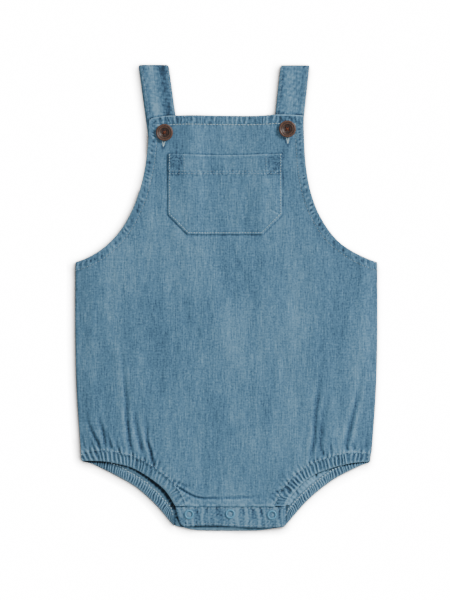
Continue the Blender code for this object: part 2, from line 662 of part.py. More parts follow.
def make_plackets():
    """The front placket, and the back one that it is closed over."""
    left, right = FRONT_CASINGS["left"][0][-1][0], FRONT_CASINGS["right"][0][0][0]
    top = [(right + (left - right) * k / 12, PLACKET_SEAM) for k in range(13)]
    outline = top + smooth_curve(FRONT_PLACKET_BOTTOM, 20)
    points = interior_points(outline, PLACKET_SPACING)
    cloth_wall("front_placket", outline, points, lambda x, y: FRONT_PLACKET_REST, placket_thickness, PLACKET_DENIM)

    left_seam = [(x + SEAM_GAP, y) for x, y in BACK_CASINGS["left"][2]]
    right_seam = [(x - SEAM_GAP, y) for x, y in BACK_CASINGS["right"][2]]
    left_side = every_few([p for p in left_seam if p[1] < PLACKET_SEAM - 0.002], 4)
    right_side = every_few([p for p in right_seam if p[1] < PLACKET_SEAM - 0.002][::-1], 4)[::-1]
    outline = [(x_at(PLACKET_SEAM, left_seam), PLACKET_SEAM)] + left_side + smooth_curve(BACK_PLACKET_BOTTOM, 16)
    outline += right_side + [(x_at(PLACKET_SEAM, right_seam), PLACKET_SEAM)]
    points = interior_points(outline, 2 * PLACKET_SPACING)
    thickness = PLACKET_THICKNESS - SEAM_GAP
    cloth_wall("back_placket", outline, points, on_the_surface, lambda x, y: thickness, PLACKET_DENIM)


def make_press_studs():
    """Three press studs: the ring that shows on the front, and the closed stud between the plackets."""
    tube = [(math.cos(math.pi * k / 3), math.sin(math.pi * k / 3)) for k in range(6)]
    middle = FRONT_PLACKET_REST + PLACKET_THICKNESS + SEAM_GAP + STUD_TUBE * math.sin(math.pi / 3)
    low, high = PLACKET_THICKNESS, FRONT_PLACKET_REST - SEAM_GAP
    neck = SOCKET_RADIUS - 2 * SOCKET_CHAMFER
    socket = (
        (neck, low), (SOCKET_RADIUS, low + SOCKET_CHAMFER), (SOCKET_RADIUS, high - SOCKET_CHAMFER), (neck, high),
    )
    for name, x, y in STUDS:
        points = []
        for k in range(STUD_SEGMENTS):
            turn = 2 * math.pi * k / STUD_SEGMENTS
            for out, up in tube:
                radius = STUD_RADIUS - STUD_TUBE + STUD_TUBE * out
                points.append((x + radius * math.cos(turn), y + radius * math.sin(turn), middle + STUD_TUBE * up))
        faces = ringed_faces(STUD_SEGMENTS, len(tube), closed=True)
        add_piece(f"press_stud_ring_{name}", points, faces, STUD_ENAMEL)
        turned_piece(f"press_stud_socket_{name}", socket, (x, y, 0.0), STUD_SEGMENTS, STUD_ENAMEL)


def make_buttons():
    """Four-hole coconut buttons with a raised rim and a dished centre, standing on the bib."""
    for side, (x, y) in BUTTONS.items():
        foot = front_upper(x, y) + SEAM_GAP
        button = turned_piece(f"button_{side}", BUTTON_PROFILE, (x, y, foot), BUTTON_SEGMENTS, COCONUT)
        for k in range(4):
            turn = math.pi * (k + 0.5) / 2
            reach = BUTTON_HOLE_PITCH / math.sqrt(2)
            centre = (x + reach * math.cos(turn), y + reach * math.sin(turn), foot)
            profile = ((BUTTON_HOLE_RADIUS, -0.001), (BUTTON_HOLE_RADIUS, 0.004))
            drill = turned_piece(f"button_drill_{side}_{k}", profile, centre, 8, COCONUT)
            drill.hide_render = True
            drill.display_type = "WIRE"
            cut = button.modifiers.new(f"hole_{k}", "BOOLEAN")
            cut.object = drill
            cut.operation = "DIFFERENCE"
            cut.solver = "EXACT"


def strap_path(side):
    """Centre line of a strap as (x, y, z, tilt), from behind the bib over the shoulder fold to inside the back."""
    top, at_bib, shift = STRAPS[side]
    slant = (at_bib[0] - top[0]) / (at_bib[1] - top[1])
    low, high = WALL / 2, 1.5 * WALL + STRAP_LOFT
    radius = (high - low) / 2
    turn_y = top[1] - radius - WALL / 2
    seat = BACK_TOP + STRAP_RAMP
    lift = WALL + SEAM_GAP
    path = []
    for k in range(11):
        y = STRAP_FRONT_END + (turn_y - STRAP_FRONT_END) * k / 10
        path.append((top[0] + slant * (y - top[1]), y, high, 0.0))
    for k in range(1, 6):
        tilt = math.pi * k / 6
        y = turn_y + radius * math.sin(tilt)
        path.append((top[0] + shift * k / 6, y, low + radius + radius * math.cos(tilt), tilt))
    back_rows = [(turn_y + (seat - turn_y) * k / 10, 0.0) for k in range(11)]
    back_rows += [(seat - 0.8 * STRAP_RAMP * k / 4, lift * smoothstep(0, 4, k)) for k in range(1, 5)]
    back_rows += [(BACK_TOP - STRAP_LAP * k / 3, lift) for k in range(1, 4)]
    for y, rise in back_rows:
        path.append((top[0] + slant * (y - top[1]) + shift, y, low + rise, math.pi))
    return path


def make_straps():
    """Two straps, each a ribbon folded over at the shoulder, with thin edges."""
    section = ((-0.5, 0.0), (-0.47, 0.5), (0.47, 0.5), (0.5, 0.0), (0.47, -0.5), (-0.47, -0.5))
    for side in STRAPS:
        path = strap_path(side)
        points = []
        for x, y, z, tilt in path:
            for across, up in section:
                rise = up * WALL
                points.append((x + across * STRAP_WIDTH, y + rise * math.sin(tilt), z + rise * math.cos(tilt)))
        add_piece(f"strap_{side}", points, ringed_faces(len(path), len(section)), DENIM)


def main():
    """Makes every piece of the garment."""
    for old in list(bpy.data.objects):
        bpy.data.objects.remove(old, do_unlink=True)
    garment = bpy.data.objects.new("overalls", None)
    bpy.context.scene.collection.objects.link(garment)
    pocket_edge, pocket_points = make_pocket()
    make_front(pocket_edge, pocket_points)
    make_back()
    make_front_hems()
    make_back_hems()
    make_casings()
    make_plackets()
    make_press_studs()
    make_straps()
    make_buttons()


main()
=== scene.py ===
"""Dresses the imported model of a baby's denim bib overalls, laid flat, in cloth, stitching and studio light.

Metres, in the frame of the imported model: +X across the garment, +Y from the crotch to the shoulder folds, +Z up.
Left and right are as seen from above.
"""

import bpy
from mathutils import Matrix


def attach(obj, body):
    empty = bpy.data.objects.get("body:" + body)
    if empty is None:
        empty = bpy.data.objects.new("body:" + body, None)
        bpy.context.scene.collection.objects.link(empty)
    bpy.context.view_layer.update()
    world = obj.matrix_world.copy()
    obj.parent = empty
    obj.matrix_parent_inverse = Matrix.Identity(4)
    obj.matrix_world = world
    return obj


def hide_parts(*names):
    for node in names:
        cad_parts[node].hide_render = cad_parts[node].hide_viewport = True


bl_info = {
    "name": "Baby's bib overalls",
    "version": (1, 0, 0),
    "blender": (4, 5, 0),
    "location": "View3D > Sidebar > Overalls",
    "description": "Cloth, stitching, buttons and light for a baby's bib overalls laid flat",
    "category": "Mesh",
}

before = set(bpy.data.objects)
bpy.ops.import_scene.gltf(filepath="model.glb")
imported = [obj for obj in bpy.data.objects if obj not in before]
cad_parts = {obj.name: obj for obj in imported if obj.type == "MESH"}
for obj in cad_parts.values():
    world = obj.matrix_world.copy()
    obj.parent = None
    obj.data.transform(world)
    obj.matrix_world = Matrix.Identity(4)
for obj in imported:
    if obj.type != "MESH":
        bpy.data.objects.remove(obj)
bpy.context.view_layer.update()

import math

import bmesh
import bpy
import numpy as np
from bpy.props import FloatProperty, FloatVectorProperty, PointerProperty
from mathutils import Vector
from mathutils.geometry import delaunay_2d_cdt
from mathutils.kdtree import KDTree

MM = 0.001

# Walls, hems and the heights at which the layers lie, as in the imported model
WALL = 0.0012
SEAM_GAP = 0.0003
HEM_THICKNESS = 0.0016
CASING_THICKNESS = 0.0026
FRONT_REST = WALL + SEAM_GAP
BODY_LOFT = 0.0020
EDGE_ROLL = 0.0160
SIDE_ROLL = 0.0260
FRONT_CASING_REST = 0.0042
FRONT_CASING_REST_AT_SIDE = 0.0019
CASING_RISE_REACH = 0.0300
STRAP_SLOPE = (0.0140, 0.0335)
STRAP_SLOPE_START = (0.0480, 0.0640)
STRAP_LOFT = 0.0008
CROTCH_HALF_WIDTH = 0.0500

# Edges of the garment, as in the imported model
HALF_LENGTH = 0.2092
UNDERARM = (-0.1353, 0.0320)
SIDE_SEAM = (UNDERARM, (-0.1355, -0.0100), (-0.1352, -0.0500), (-0.1338, -0.0900), (-0.1303, -0.1395))
SIDE_SEAM_END = -0.1380
BIB_HALF_WIDTH = 0.0694
BIB_HEM_LINE = 0.1553
ARMHOLE_HANDLES = ((-0.0708, 0.1000), (-0.0870, 0.0460))
ARMHOLE_HEM_WIDTH = 0.0080
ARMHOLE_DRAW = 0.0032
ARMHOLE_DRAW_BELOW = (0.0330, 0.0520)
ARMHOLE_DRAW_ABOVE = (0.0750, 0.1550)
BACK_TOP = 0.0970
BIB_TOP = (
    (-0.0692, 0.1585), (-0.0668, 0.1607), (-0.0600, 0.1622), (-0.0500, 0.1632), (-0.0300, 0.1637),
    (0.0000, 0.1634), (0.0260, 0.1632), (0.0440, 0.1642), (0.0600, 0.1639), (0.0694, 0.1632),
)
FRONT_LEG = {
    "left": (
        (-0.1298, -0.1462), (-0.1092, -0.1468), (-0.0975, -0.1489), (-0.0851, -0.1523), (-0.0713, -0.1598),
        (-0.0576, -0.1702), (-0.0513, -0.1778), (-0.0460, -0.1866),
    ),
    "right": (
        (0.0530, -0.1866), (0.0574, -0.1788), (0.0617, -0.1738), (0.0695, -0.1652), (0.0810, -0.1577),
        (0.0918, -0.1537), (0.1026, -0.1505), (0.1134, -0.1483), (0.1289, -0.1470),
    ),
}
BACK_LEG = {
    "left": (
        (-0.1292, -0.1470), (-0.1195, -0.1496), (-0.1024, -0.1578), (-0.0817, -0.1696), (-0.0644, -0.1847),
        (-0.0506, -0.2005), (-0.0470, -0.2045),
    ),
    "right": (
        (0.0522, -0.2052), (0.0559, -0.2011), (0.0738, -0.1810), (0.0954, -0.1637), (0.1170, -0.1523),
        (0.1285, -0.1478),
    ),
}
FRONT_CASING_WIDTH = 0.0097
BACK_CASING_WIDTH = 0.0088
CASING_WIDTH_AT_SIDE = 0.0068
CASING_THINNING_AT_SIDE = 0.5
CASING_NARROWS_OVER = 0.22
SIDE_CUT_SLANT = 0.10
CASING_STEPS = 250

# Crotch plackets and press studs
PLACKET_SEAM = -0.1869
FRONT_PLACKET_REST = 0.0040
PLACKET_THICKNESS = 0.0018
PLACKET_ROLL = 0.0014
FRONT_PLACKET_BOTTOM = (
    (-0.0437, -0.1961), (-0.0389, -0.2046), (-0.0200, -0.2042), (0.0000, -0.2047), (0.0180, -0.2058),
    (0.0400, -0.2063), (0.0510, -0.2054), (0.0528, -0.2036),
)
BACK_PLACKET_BOTTOM = (
    (-0.0458, -0.2049), (-0.0380, -0.2064), (-0.0300, -0.2083), (-0.0200, -0.2090), (0.0000, -HALF_LENGTH),
    (0.0180, -HALF_LENGTH), (0.0300, -0.2089), (0.0400, -0.2074), (0.0505, -0.2056),
)
STUDS = (("left", -0.0333, -0.1940), ("middle", 0.0035, -0.1936), ("right", 0.0408, -0.1945))
STUD_RADIUS = 0.0042
STUD_TUBE = 0.0007
STUD_HALF_HEIGHT = 0.00045
STUD_LIFT = 0.0003
STUD_SIDES = 48
STUD_TUBE_SIDES = 14
# Painted highlight in the middle of each stud: how much paler the cloth is there
STUD_MIDDLE_HIGHLIGHTS = (0.90, 0.75, 0.30)

# Chest pocket
POCKET_LEFT = -0.0524
POCKET_RIGHT = 0.0499
POCKET_TOP = 0.1289
POCKET_TOP_DIP = 0.0012
POCKET_BOTTOM = 0.0567
POCKET_CHAMFER = 0.0175
POCKET_HEM = 0.0192
POCKET_TACK_WIDTH = 0.0129

# Straps and buttons
STRAP_WIDTH = 0.0260
STRAP_LAP = 0.0220
STRAP_RAMP = 0.0090
STRAP_FRONT_END = 0.1290
STRAPS = {
    # side: centre at the shoulder fold, centre at the bib's top edge, sideways shift of the back layer
    "left": ((-0.0648, 0.2092), (-0.0584, 0.1624), -0.0012),
    "right": ((0.0617, 0.2088), (0.0569, 0.1642), 0.0),
}
# Lengthwise bands of the straps, paler or darker: amount, place across and half width as shares of the width
STRAP_SHADES = {
    "left": ((0.38, -0.13, 0.15), (-0.50, 0.27, 0.14), (-0.30, -0.38, 0.09), (0.16, 0.43, 0.04)),
    "right": ((0.22, -0.06, 0.15), (-0.22, 0.32, 0.08), (-0.28, -0.37, 0.06), (0.08, 0.20, 0.05)),
}
BUTTONS = {"left": (-0.0555, 0.1479), "right": (0.0546, 0.1510)}
BUTTONHOLE_FOOT = {"left": (-0.0566, 0.1358), "right": (0.0550, 0.1384)}
BUTTON_REST = 0.0050
BUTTON_SIDES = 72
BUTTON_HOLES = 4
HOLE_RADIUS = 0.00095
HOLE_FROM_CENTRE = 0.0017
# Half profile of a button: radius and height above its foot, both in millimetres, and tone: painted shade in the
# grooves and the dished centre, a painted highlight on top of the rim
BUTTON_PROFILE = (
    (0.0, 0.10, 0.0), (3.2, 0.00, 0.0), (6.2, 0.55, -0.1), (7.3, 1.20, -0.1), (7.62, 1.75, 0.0),
    (7.60, 2.25, 0.05), (7.35, 2.62, 0.10), (6.95, 2.84, 0.15), (6.50, 2.88, 0.12), (6.10, 2.76, 0.0),
    (5.80, 2.52, -0.30), (5.55, 2.42, -0.45), (5.30, 2.50, -0.20), (5.00, 2.58, 0.05), (4.60, 2.50, 0.02),
    (4.25, 2.25, -0.30), (3.90, 1.98, -0.50), (3.40, 1.84, -0.45), (2.40, 1.76, -0.30), (0.0, 1.74, -0.20),
)

# Creases in the front: depth, half width, and path dying out towards its last point
CREASES = (
    (0.0009, 0.0012, ((-0.1265, -0.1375), (-0.1290, -0.1290), (-0.1320, -0.1150))),
    (0.0014, 0.0015, ((-0.1118, -0.1372), (-0.1158, -0.1293), (-0.1206, -0.1206), (-0.1241, -0.1118),
                      (-0.1262, -0.0980))),
    (0.0017, 0.0016, ((-0.1080, -0.1365), (-0.1089, -0.1283), (-0.1109, -0.1196), (-0.1138, -0.1108),
                      (-0.1165, -0.0980))),
    (0.0016, 0.0014, ((-0.1026, -0.1372), (-0.1045, -0.1313), (-0.1065, -0.1235), (-0.1085, -0.1150))),
    (0.0012, 0.0012, ((-0.0967, -0.1390), (-0.0982, -0.1308), (-0.0990, -0.1250))),
    (0.0016, 0.0017, ((-0.0840, -0.1430), (-0.0855, -0.1362), (-0.0874, -0.1274), (-0.0890, -0.1118),
                      (-0.0899, -0.0923), (-0.0930, -0.0560), (-0.0990, -0.0230))),
    (0.0013, 0.0020, ((-0.0750, -0.1400), (-0.0777, -0.1293), (-0.0806, -0.1166), (-0.0826, -0.1049),
                      (-0.0835, -0.0900))),
    (0.0019, 0.0014, ((-0.0655, -0.1520), (-0.0665, -0.1450), (-0.0684, -0.1362), (-0.0713, -0.1283),
                      (-0.0719, -0.1118), (-0.0722, -0.0980))),
    (0.0016, 0.0018, ((0.0752, -0.1444), (0.0765, -0.1360), (0.0780, -0.1295), (0.0789, -0.1202),
                      (0.0799, -0.1034), (0.0812, -0.0923), (0.0880, -0.0480))),
    (0.0010, 0.0025, ((0.0830, -0.1400), (0.0849, -0.1156), (0.0877, -0.1025), (0.0910, -0.0923),
                      (0.0960, -0.0740))),
    (0.0010, 0.0012, ((0.0873, -0.1425), (0.0849, -0.1351), (0.0840, -0.1280))),
    (0.0011, 0.0012, ((0.0943, -0.1400), (0.0928, -0.1323), (0.0925, -0.1250))),
    (0.0015, 0.0022, ((0.1068, -0.1350), (0.1082, -0.1267), (0.1110, -0.1137), (0.1138, -0.1034),
                      (0.1166, -0.0923), (0.1240, -0.0480))),
    (0.0009, 0.0011, ((0.1096, -0.1379), (0.1073, -0.1341), (0.1062, -0.1290))),
    (0.0009, 0.0012, ((0.1150, -0.1375), (0.1130, -0.1320), (0.1122, -0.1270))),
    (0.0008, 0.0012, ((0.1245, -0.1365), (0.1258, -0.1290), (0.1262, -0.1200))),
    (0.0016, 0.0010, ((-0.0484, -0.1660), (-0.0426, -0.1703), (-0.0347, -0.1752), (-0.0279, -0.1786),
                      (-0.0201, -0.1800), (0.0020, -0.1793), (0.0244, -0.1788), (0.0380, -0.1785))),
    (0.0010, 0.0010, ((-0.0020, -0.1794), (0.0130, -0.1790), (0.0244, -0.1788), (0.0340, -0.1786))),
    (0.0016, 0.0012, ((0.0542, -0.1705), (0.0514, -0.1723), (0.0431, -0.1751), (0.0366, -0.1778))),
    (0.0008, 0.0013, ((-0.0484, -0.1640), (-0.0377, -0.1684), (-0.0250, -0.1715))),
    (0.0016, 0.0013, ((0.0449, -0.1853), (0.0480, -0.1820), (0.0514, -0.1788))),
)
CREASE_REACH = 4.0
CREASE_RIDGE = 0.55
# Pale seam edges that curve up from the placket's ends
CROTCH_EDGES = (
    ((-0.0405, -0.1762), (-0.0360, -0.1840), (-0.0248, -0.1860)),
    ((0.0289, -0.1858), (0.0394, -0.1855), (0.0428, -0.1828), (0.0465, -0.1785)),
)
# Painted shade in pulls of the bib's hem
BIB_HEM_PULL_SHADES = (
    ((-0.0660, 0.1545), (-0.0632, 0.1580)), ((-0.0600, 0.1622), (-0.0580, 0.1588)),
    ((-0.0540, 0.1622), (-0.0518, 0.1585)), ((-0.0452, 0.1622), (-0.0440, 0.1575)),
    ((0.0480, 0.1620), (0.0505, 0.1585)), ((0.0560, 0.1622), (0.0590, 0.1592)),
    ((0.0612, 0.1612), (0.0652, 0.1548)),
)
# A small pull in the pocket's lower right corner, with a painted highlight along it and painted shade beside it
POCKET_PULL = ((0.0390, 0.0790), (0.0430, 0.0765), (0.0472, 0.0742))
# Painted shade in folds of the back that show in the right leg opening: centre and sideways slant
BACK_FOLD_SHADES = ((0.0806, -0.1595, -0.0008), (0.0644, -0.1764, 0.0010), (0.0602, -0.1829, -0.0012))
# Painted shade in small pleats of the front placket
PLACKET_PLEAT_SHADES = (
    ((-0.0262, -0.1915), (-0.0240, -0.1960), (-0.0236, -0.2030)), ((-0.0085, -0.1890), (-0.0090, -0.1960)),
    ((0.0150, -0.1885), (0.0160, -0.1945)), ((0.0235, -0.1895), (0.0230, -0.1985)),
    ((0.0310, -0.1890), (0.0318, -0.1940)), ((-0.0170, -0.1885), (-0.0180, -0.1915)),
    ((0.0480, -0.1890), (0.0468, -0.1990)), ((-0.0405, -0.1975), (-0.0360, -0.2030)),
)
# Painted shadows in the gaps between the back placket and the cloth at its left end
BACK_PLACKET_GAP_SHADOWS = (
    ((-0.0455, -0.1880), (-0.0460, -0.1950), (-0.0464, -0.2035)),
    ((-0.0447, -0.1925), (-0.0439, -0.1966), (-0.0396, -0.2050)),
)
# Painted shade on the back under and just outside the front's casings: least reach, what is added, and where along
# the casing
UNDER_FRONT_SHADE_REACH = {"left": (0.0019, 0.0020, (0.3, 0.9)), "right": (0.0004, 0.0010, (0.55, 0.85))}

# Thin shells of cloth, and how far an edge runs on under what is sewn over it
PANEL_SHELL = 0.0009
LAYER_GAP = 0.0001
FRONT_LOWEST = 0.0013
UNDER_HEM = 0.0008
UNDER_CASING = 0.0009
STRAP_HALF_WALL = 0.00050

# Distances from one ridge to the next
BIB_PUCKER_PITCH = 0.0038
ROPE_PITCH = 0.0042
POCKET_PULL_PITCH = 0.0042
TACK_PITCH = 0.0021
BACK_GATHER_PITCH = 0.0036
PLACKET_WAVE_PITCH = 0.0054
PLACKET_FINE_PITCH = 0.0031
BACK_PLACKET_PITCH = 0.0080

# Stage
CAMERA_PLACE = (-0.0013, -0.0021, 2.0)
CAMERA_LENS = 133.6
CAMERA_SENSOR = 36.0
KEY_LIGHT_PLACE = (1.75, 1.05, 1.45)
KEY_LIGHT_SIZE = 0.55
FILL_LIGHT_PLACE = (-1.0, -0.4, 2.4)
FILL_LIGHT_SIZE = 1.6
FLOOR_SIZE = 30.0
FLOOR_LEVEL = -0.0002
CONTACT_SHADOW_REACH = 0.009
CONTACT_SHADOW_TILT = {"X": 0.48, "Y": 0.55, "Z": 0.68}
CONTACT_SHADOW_POWER = 6.2

# Mesh density
PANEL_SPACING = 0.0019
GATHER_SPACING = 0.00095
GATHER_ZONE = 0.0300
BACK_SPACING = 0.0030
BACK_GATHER_SPACING = 0.0011
POCKET_SPACING = 0.0010
PLACKET_SPACING = 0.0009
RIM_STEP = 0.0010
CDT_INSIDE = 1
MERGE_DISTANCE = 1e-7


# Curves and outlines


def smoothstep(low, high, value):
    """0 below low, 1 above high and a soft S between them."""
    t = np.clip((np.asarray(value, float) - low) / (high - low), 0.0, 1.0)
    return t * t * (3.0 - 2.0 * t)


def path_run(points):
    """Distance travelled along a polyline at each of its points."""
    steps = np.linalg.norm(np.diff(points, axis=0), axis=1)
    return np.concatenate(([0.0], np.cumsum(steps)))


def evenly_spaced(points, count):
    """count + 1 points at equal steps of length along a polyline."""
    points = np.asarray(points, float)
    run = path_run(points)
    at = np.linspace(0.0, run[-1], count + 1)
    return np.stack([np.interp(at, run, points[:, axis]) for axis in range(points.shape[1])], axis=1)


def by_step(points, step):
    """The same polyline with points about one step apart."""
    points = np.asarray(points, float)
    return evenly_spaced(points, max(1, round(path_run(points)[-1] / step)))


def smooth_curve(points, count, steps=24):
    """count + 1 evenly spaced points on a Catmull-Rom curve through the given points."""
    given = np.asarray(points, float)
    guides = np.vstack((2 * given[0] - given[1], given, 2 * given[-1] - given[-2]))
    t = np.arange(steps)[:, None] / steps
    dense = [
        ((-t + 2 * t ** 2 - t ** 3) * p0 + (2 - 5 * t ** 2 + 3 * t ** 3) * p1
         + (t + 4 * t ** 2 - 3 * t ** 3) * p2 + (t ** 3 - t ** 2) * p3) / 2
        for p0, p1, p2, p3 in zip(guides, guides[1:], guides[2:], guides[3:])
    ]
    return evenly_spaced(np.vstack([*dense, given[-1:]]), count)


def handle_curve(start, handles, end, count):
    """count + 1 evenly spaced points on a cubic curve with two handles."""
    t = np.linspace(0.0, 1.0, 241)[:, None]
    start, first, second, end = (np.asarray(p, float) for p in (start, *handles, end))
    dense = (1 - t) ** 3 * start + 3 * (1 - t) ** 2 * t * first + 3 * (1 - t) * t ** 2 * second + t ** 3 * end
    return evenly_spaced(dense, count)


def drawn_in(y):
    """How much further in the right armhole lies than a mirror image of the left one, at height y."""
    return ARMHOLE_DRAW * smoothstep(*ARMHOLE_DRAW_BELOW, y) * (1 - smoothstep(*ARMHOLE_DRAW_ABOVE, y))


def mirrored(points):
    """The same edge on the garment's right, in the reversed order, with the armhole a little further in."""
    points = np.asarray(points)[::-1]
    return np.column_stack((-points[:, 0] - drawn_in(points[:, 1]), points[:, 1]))


def inward(edge, width, first_cut=None, last_cut=None, blend=0.16):
    """The edge moved to the left of its direction. A cut is the direction in which that end runs."""
    edge = np.asarray(edge, float)
    along = np.gradient(edge, axis=0)
    normal = np.stack((-along[:, 1], along[:, 0]), axis=1)
    normal /= np.linalg.norm(normal, axis=1)[:, None]
    t = np.linspace(0.0, 1.0, len(edge))
    for cut, share in ((first_cut, 1 - t / blend), (last_cut, 1 - (1 - t) / blend)):
        if cut is not None:
            cut = np.asarray(cut) / np.linalg.norm(cut)
            normal = normal + (cut - normal) * np.clip(share, 0.0, 1.0)[:, None]
            normal /= np.linalg.norm(normal, axis=1)[:, None]
    return edge + normal * np.broadcast_to(width, len(edge))[:, None]


def inside(xy, outline):
    """Whether each point lies inside a closed outline."""
    found = np.zeros(len(xy), bool)
    x, y = xy[:, 0], xy[:, 1]
    for (x0, y0), (x1, y1) in zip(outline, np.roll(outline, -1, axis=0)):
        if y0 != y1:
            found ^= ((y0 > y) != (y1 > y)) & (x < (x1 - x0) * (y - y0) / (y1 - y0) + x0)
    return found


def nearest_on_path(xy, path):
    """Distance of each point from an open path, and the share of the path's length at the nearest place."""
    path = np.asarray(path, float)
    run = path_run(path)
    best, share = np.full(len(xy), np.inf), np.zeros(len(xy))
    for k, (a, b) in enumerate(zip(path, path[1:])):
        step = b - a
        length = run[k + 1] - run[k]
        t = np.clip(((xy - a) @ step) / length ** 2, 0.0, 1.0)
        distance = np.linalg.norm(xy - a - t[:, None] * step, axis=1)
        closer = distance < best
        best[closer] = distance[closer]
        share[closer] = ((run[k] + length * t) / run[-1])[closer]
    return best, share


def rim_distance(xy, outline):
    """Distance of each point from the nearest point of a finely stepped outline."""
    tree = KDTree(len(outline))
    for k, (x, y) in enumerate(outline):
        tree.insert((x, y, 0.0), k)
    tree.balance()
    return np.array([tree.find((x, y, 0.0))[2] for x, y in xy])


def falloff(distance, reach):
    """1 at no distance, falling off on both sides in a bell of the given reach."""
    return np.exp(-(distance / reach) ** 2)


def stroke(xy, path, half_width):
    """1 along a path drawn on the cloth, falling off beside it."""
    return falloff(nearest_on_path(xy, path)[0], half_width)


def scattered(outline, spacing, keep=None):
    """Staggered points inside an outline, clear of its rim, where keep(xy) holds."""
    low, high = outline.min(axis=0), outline.max(axis=0)
    rows = []
    for k, y in enumerate(np.arange(low[1] + spacing / 2, high[1], spacing * math.sqrt(3) / 2)):
        across = np.arange(low[0] + 0.5 * spacing * (k % 2), high[0], spacing)
        rows.append(np.stack((across, np.full_like(across, y)), axis=1))
    xy = np.vstack(rows)
    xy = xy[inside(xy, outline)]
    if keep is not None:
        xy = xy[keep(xy)]
    return xy[rim_distance(xy, outline) > 0.5 * min(spacing, 2 * RIM_STEP)]


def ripples(xy, wavelength, seed, stretch=(1.0, 1.0), waves=9):
    """Smooth uneven waves of about the given wavelength, between about -2 and 2."""
    draw = np.random.default_rng(seed)
    total = np.zeros(len(xy))
    for _ in range(waves):
        turn, phase = draw.uniform(0, 2 * math.pi, 2)
        size = wavelength * draw.uniform(0.7, 1.5)
        along = xy[:, 0] * math.cos(turn) / stretch[0] + xy[:, 1] * math.sin(turn) / stretch[1]
        total += np.sin(2 * math.pi * along / size + phase)
    return total / math.sqrt(waves / 2)


def gather_waves(run, pitch, seed, unevenness=0.45, sharpness=1.5, weakest=0.35):
    """Gathers along a run of length: 1 on a ridge and 0 in a trough, each with a strength of its own."""
    draw = np.random.default_rng(seed)
    span = np.max(run) - np.min(run) + 8 * pitch
    steps = pitch * (1 + unevenness * draw.uniform(-1, 1, int(span / pitch * 1.6) + 8))
    ridges = np.min(run) - 4 * pitch + np.concatenate(([0.0], np.cumsum(steps)))
    phase = np.interp(run, ridges, np.arange(len(ridges)))
    strength = np.interp(phase, np.arange(len(ridges)), draw.uniform(weakest, 1.0, len(ridges)))
    ridge = (0.5 + 0.5 * np.cos(2 * math.pi * phase)) ** sharpness
    return ridge * strength


# Form of the garment, from above


def armhole_edge(count=220):
    """The left armhole's free edge, from the bib's hem down to the underarm."""
    return handle_curve((-BIB_HALF_WIDTH, BIB_HEM_LINE - SEAM_GAP), ARMHOLE_HANDLES, UNDERARM, count)


def away_from_side(t, side):
    """How far a casing has left the side seam, from 0 at the seam to 1, at t along it from left to right."""
    return smoothstep(0.0, CASING_NARROWS_OVER, t if side == "left" else 1 - t)


def casing_rails(points, full_width, side, crotch_cut):
    """A casing's free edge and seam, and the edge of the panel that is sewn to it."""
    free = smooth_curve(points, CASING_STEPS)
    t = np.linspace(0.0, 1.0, len(free))
    width = CASING_WIDTH_AT_SIDE + (full_width - CASING_WIDTH_AT_SIDE) * away_from_side(t, side)
    cuts = ((-SIDE_CUT_SLANT, 1.0), crotch_cut) if side == "left" else (crotch_cut, (SIDE_CUT_SLANT, 1.0))
    return free, inward(free, width, *cuts), inward(free, width + SEAM_GAP, *cuts)


FRONT_CASINGS = {
    "left": casing_rails(FRONT_LEG["left"], FRONT_CASING_WIDTH, "left", (1.0, 0.0)),
    "right": casing_rails(FRONT_LEG["right"], FRONT_CASING_WIDTH, "right", (-1.0, 0.0)),
}
BACK_CASINGS = {
    "left": casing_rails(BACK_LEG["left"], BACK_CASING_WIDTH, "left", (-0.1, 1.0)),
    "right": casing_rails(BACK_LEG["right"], BACK_CASING_WIDTH, "right", (0.0, 1.0)),
}
FRONT_SEAMS = [rails[2][::12] for rails in FRONT_CASINGS.values()]
BACK_SEAMS = {side: rails[2][::8] for side, rails in BACK_CASINGS.items()}
SIDE_EDGE = smooth_curve(SIDE_SEAM, 120)


def from_side_edge(xy):
    """How far each place is from the nearer side edge of the garment."""
    return np.abs(np.interp(-xy[:, 1], -SIDE_EDGE[:, 1], SIDE_EDGE[:, 0])) - np.abs(xy[:, 0])


def small_puckers():
    """Short creases that fan out from the seams of the front casings, uneven in depth, length and spacing."""
    draw = np.random.default_rng(41)
    found = []
    for side, (_, _, panel) in FRONT_CASINGS.items():
        outward = -1.0 if side == "left" else 1.0
        run = path_run(panel)
        at = 0.003
        while at < run[-1] - 0.002:
            x, y = (np.interp(at, run, panel[:, axis]) for axis in (0, 1))
            crotch_side = 1 - smoothstep(0.050, 0.085, abs(x))
            lean = outward * draw.uniform(0.10, 0.50) * (1 - crotch_side) + outward * -0.9 * crotch_side
            reach = draw.uniform(0.0045, 0.0130)
            size = reach / math.hypot(lean, 1.0)
            path = ((x, y - 0.0005), (x + lean * size, y + size))
            found.append((draw.uniform(0.0004, 0.0010), draw.uniform(0.0008, 0.0012), path))
            at += draw.uniform(0.0026, 0.0058)
    return found


ALL_CREASES = [*CREASES, *small_puckers()]


def ruche_waves(t, u, side, pitch, seed, lean):
    """Ruches of a casing at the share t along it and u across it; beyond u = 1 they run on into the panel."""
    length = path_run(FRONT_CASINGS[side][0])[-1]
    near_crotch = 1 - smoothstep(0.0, 0.45, t) if side == "right" else smoothstep(0.55, 1.0, t)
    unruly = 0.00028 + 0.00022 * near_crotch
    wobble = unruly * ripples(np.column_stack((t * length, u * 0.010)), 0.012, seed + 5)
    return gather_waves(t * length + lean * (u - 0.5) + wobble, pitch, seed, 0.32, 2.0, 0.55)


FRONT_RUCHES = {"left": (0.0034, 61, 0.0030), "right": (0.0034, 63, -0.0016)}
BACK_RUCHES = {"left": (0.0022, 71, 0.0026), "right": (0.0022, 73, -0.0026)}
RUFFLE_REACH = 0.0065


def bib_puckers(xy):
    """Puckers that the bib's hem stitches pull: 1 on a ridge, 0 in a trough."""
    slanted = xy[:, 0] + 0.0006 * ripples(xy, 0.010, 21)
    return gather_waves(slanted, BIB_PUCKER_PITCH, 22, 0.5, 2.0)


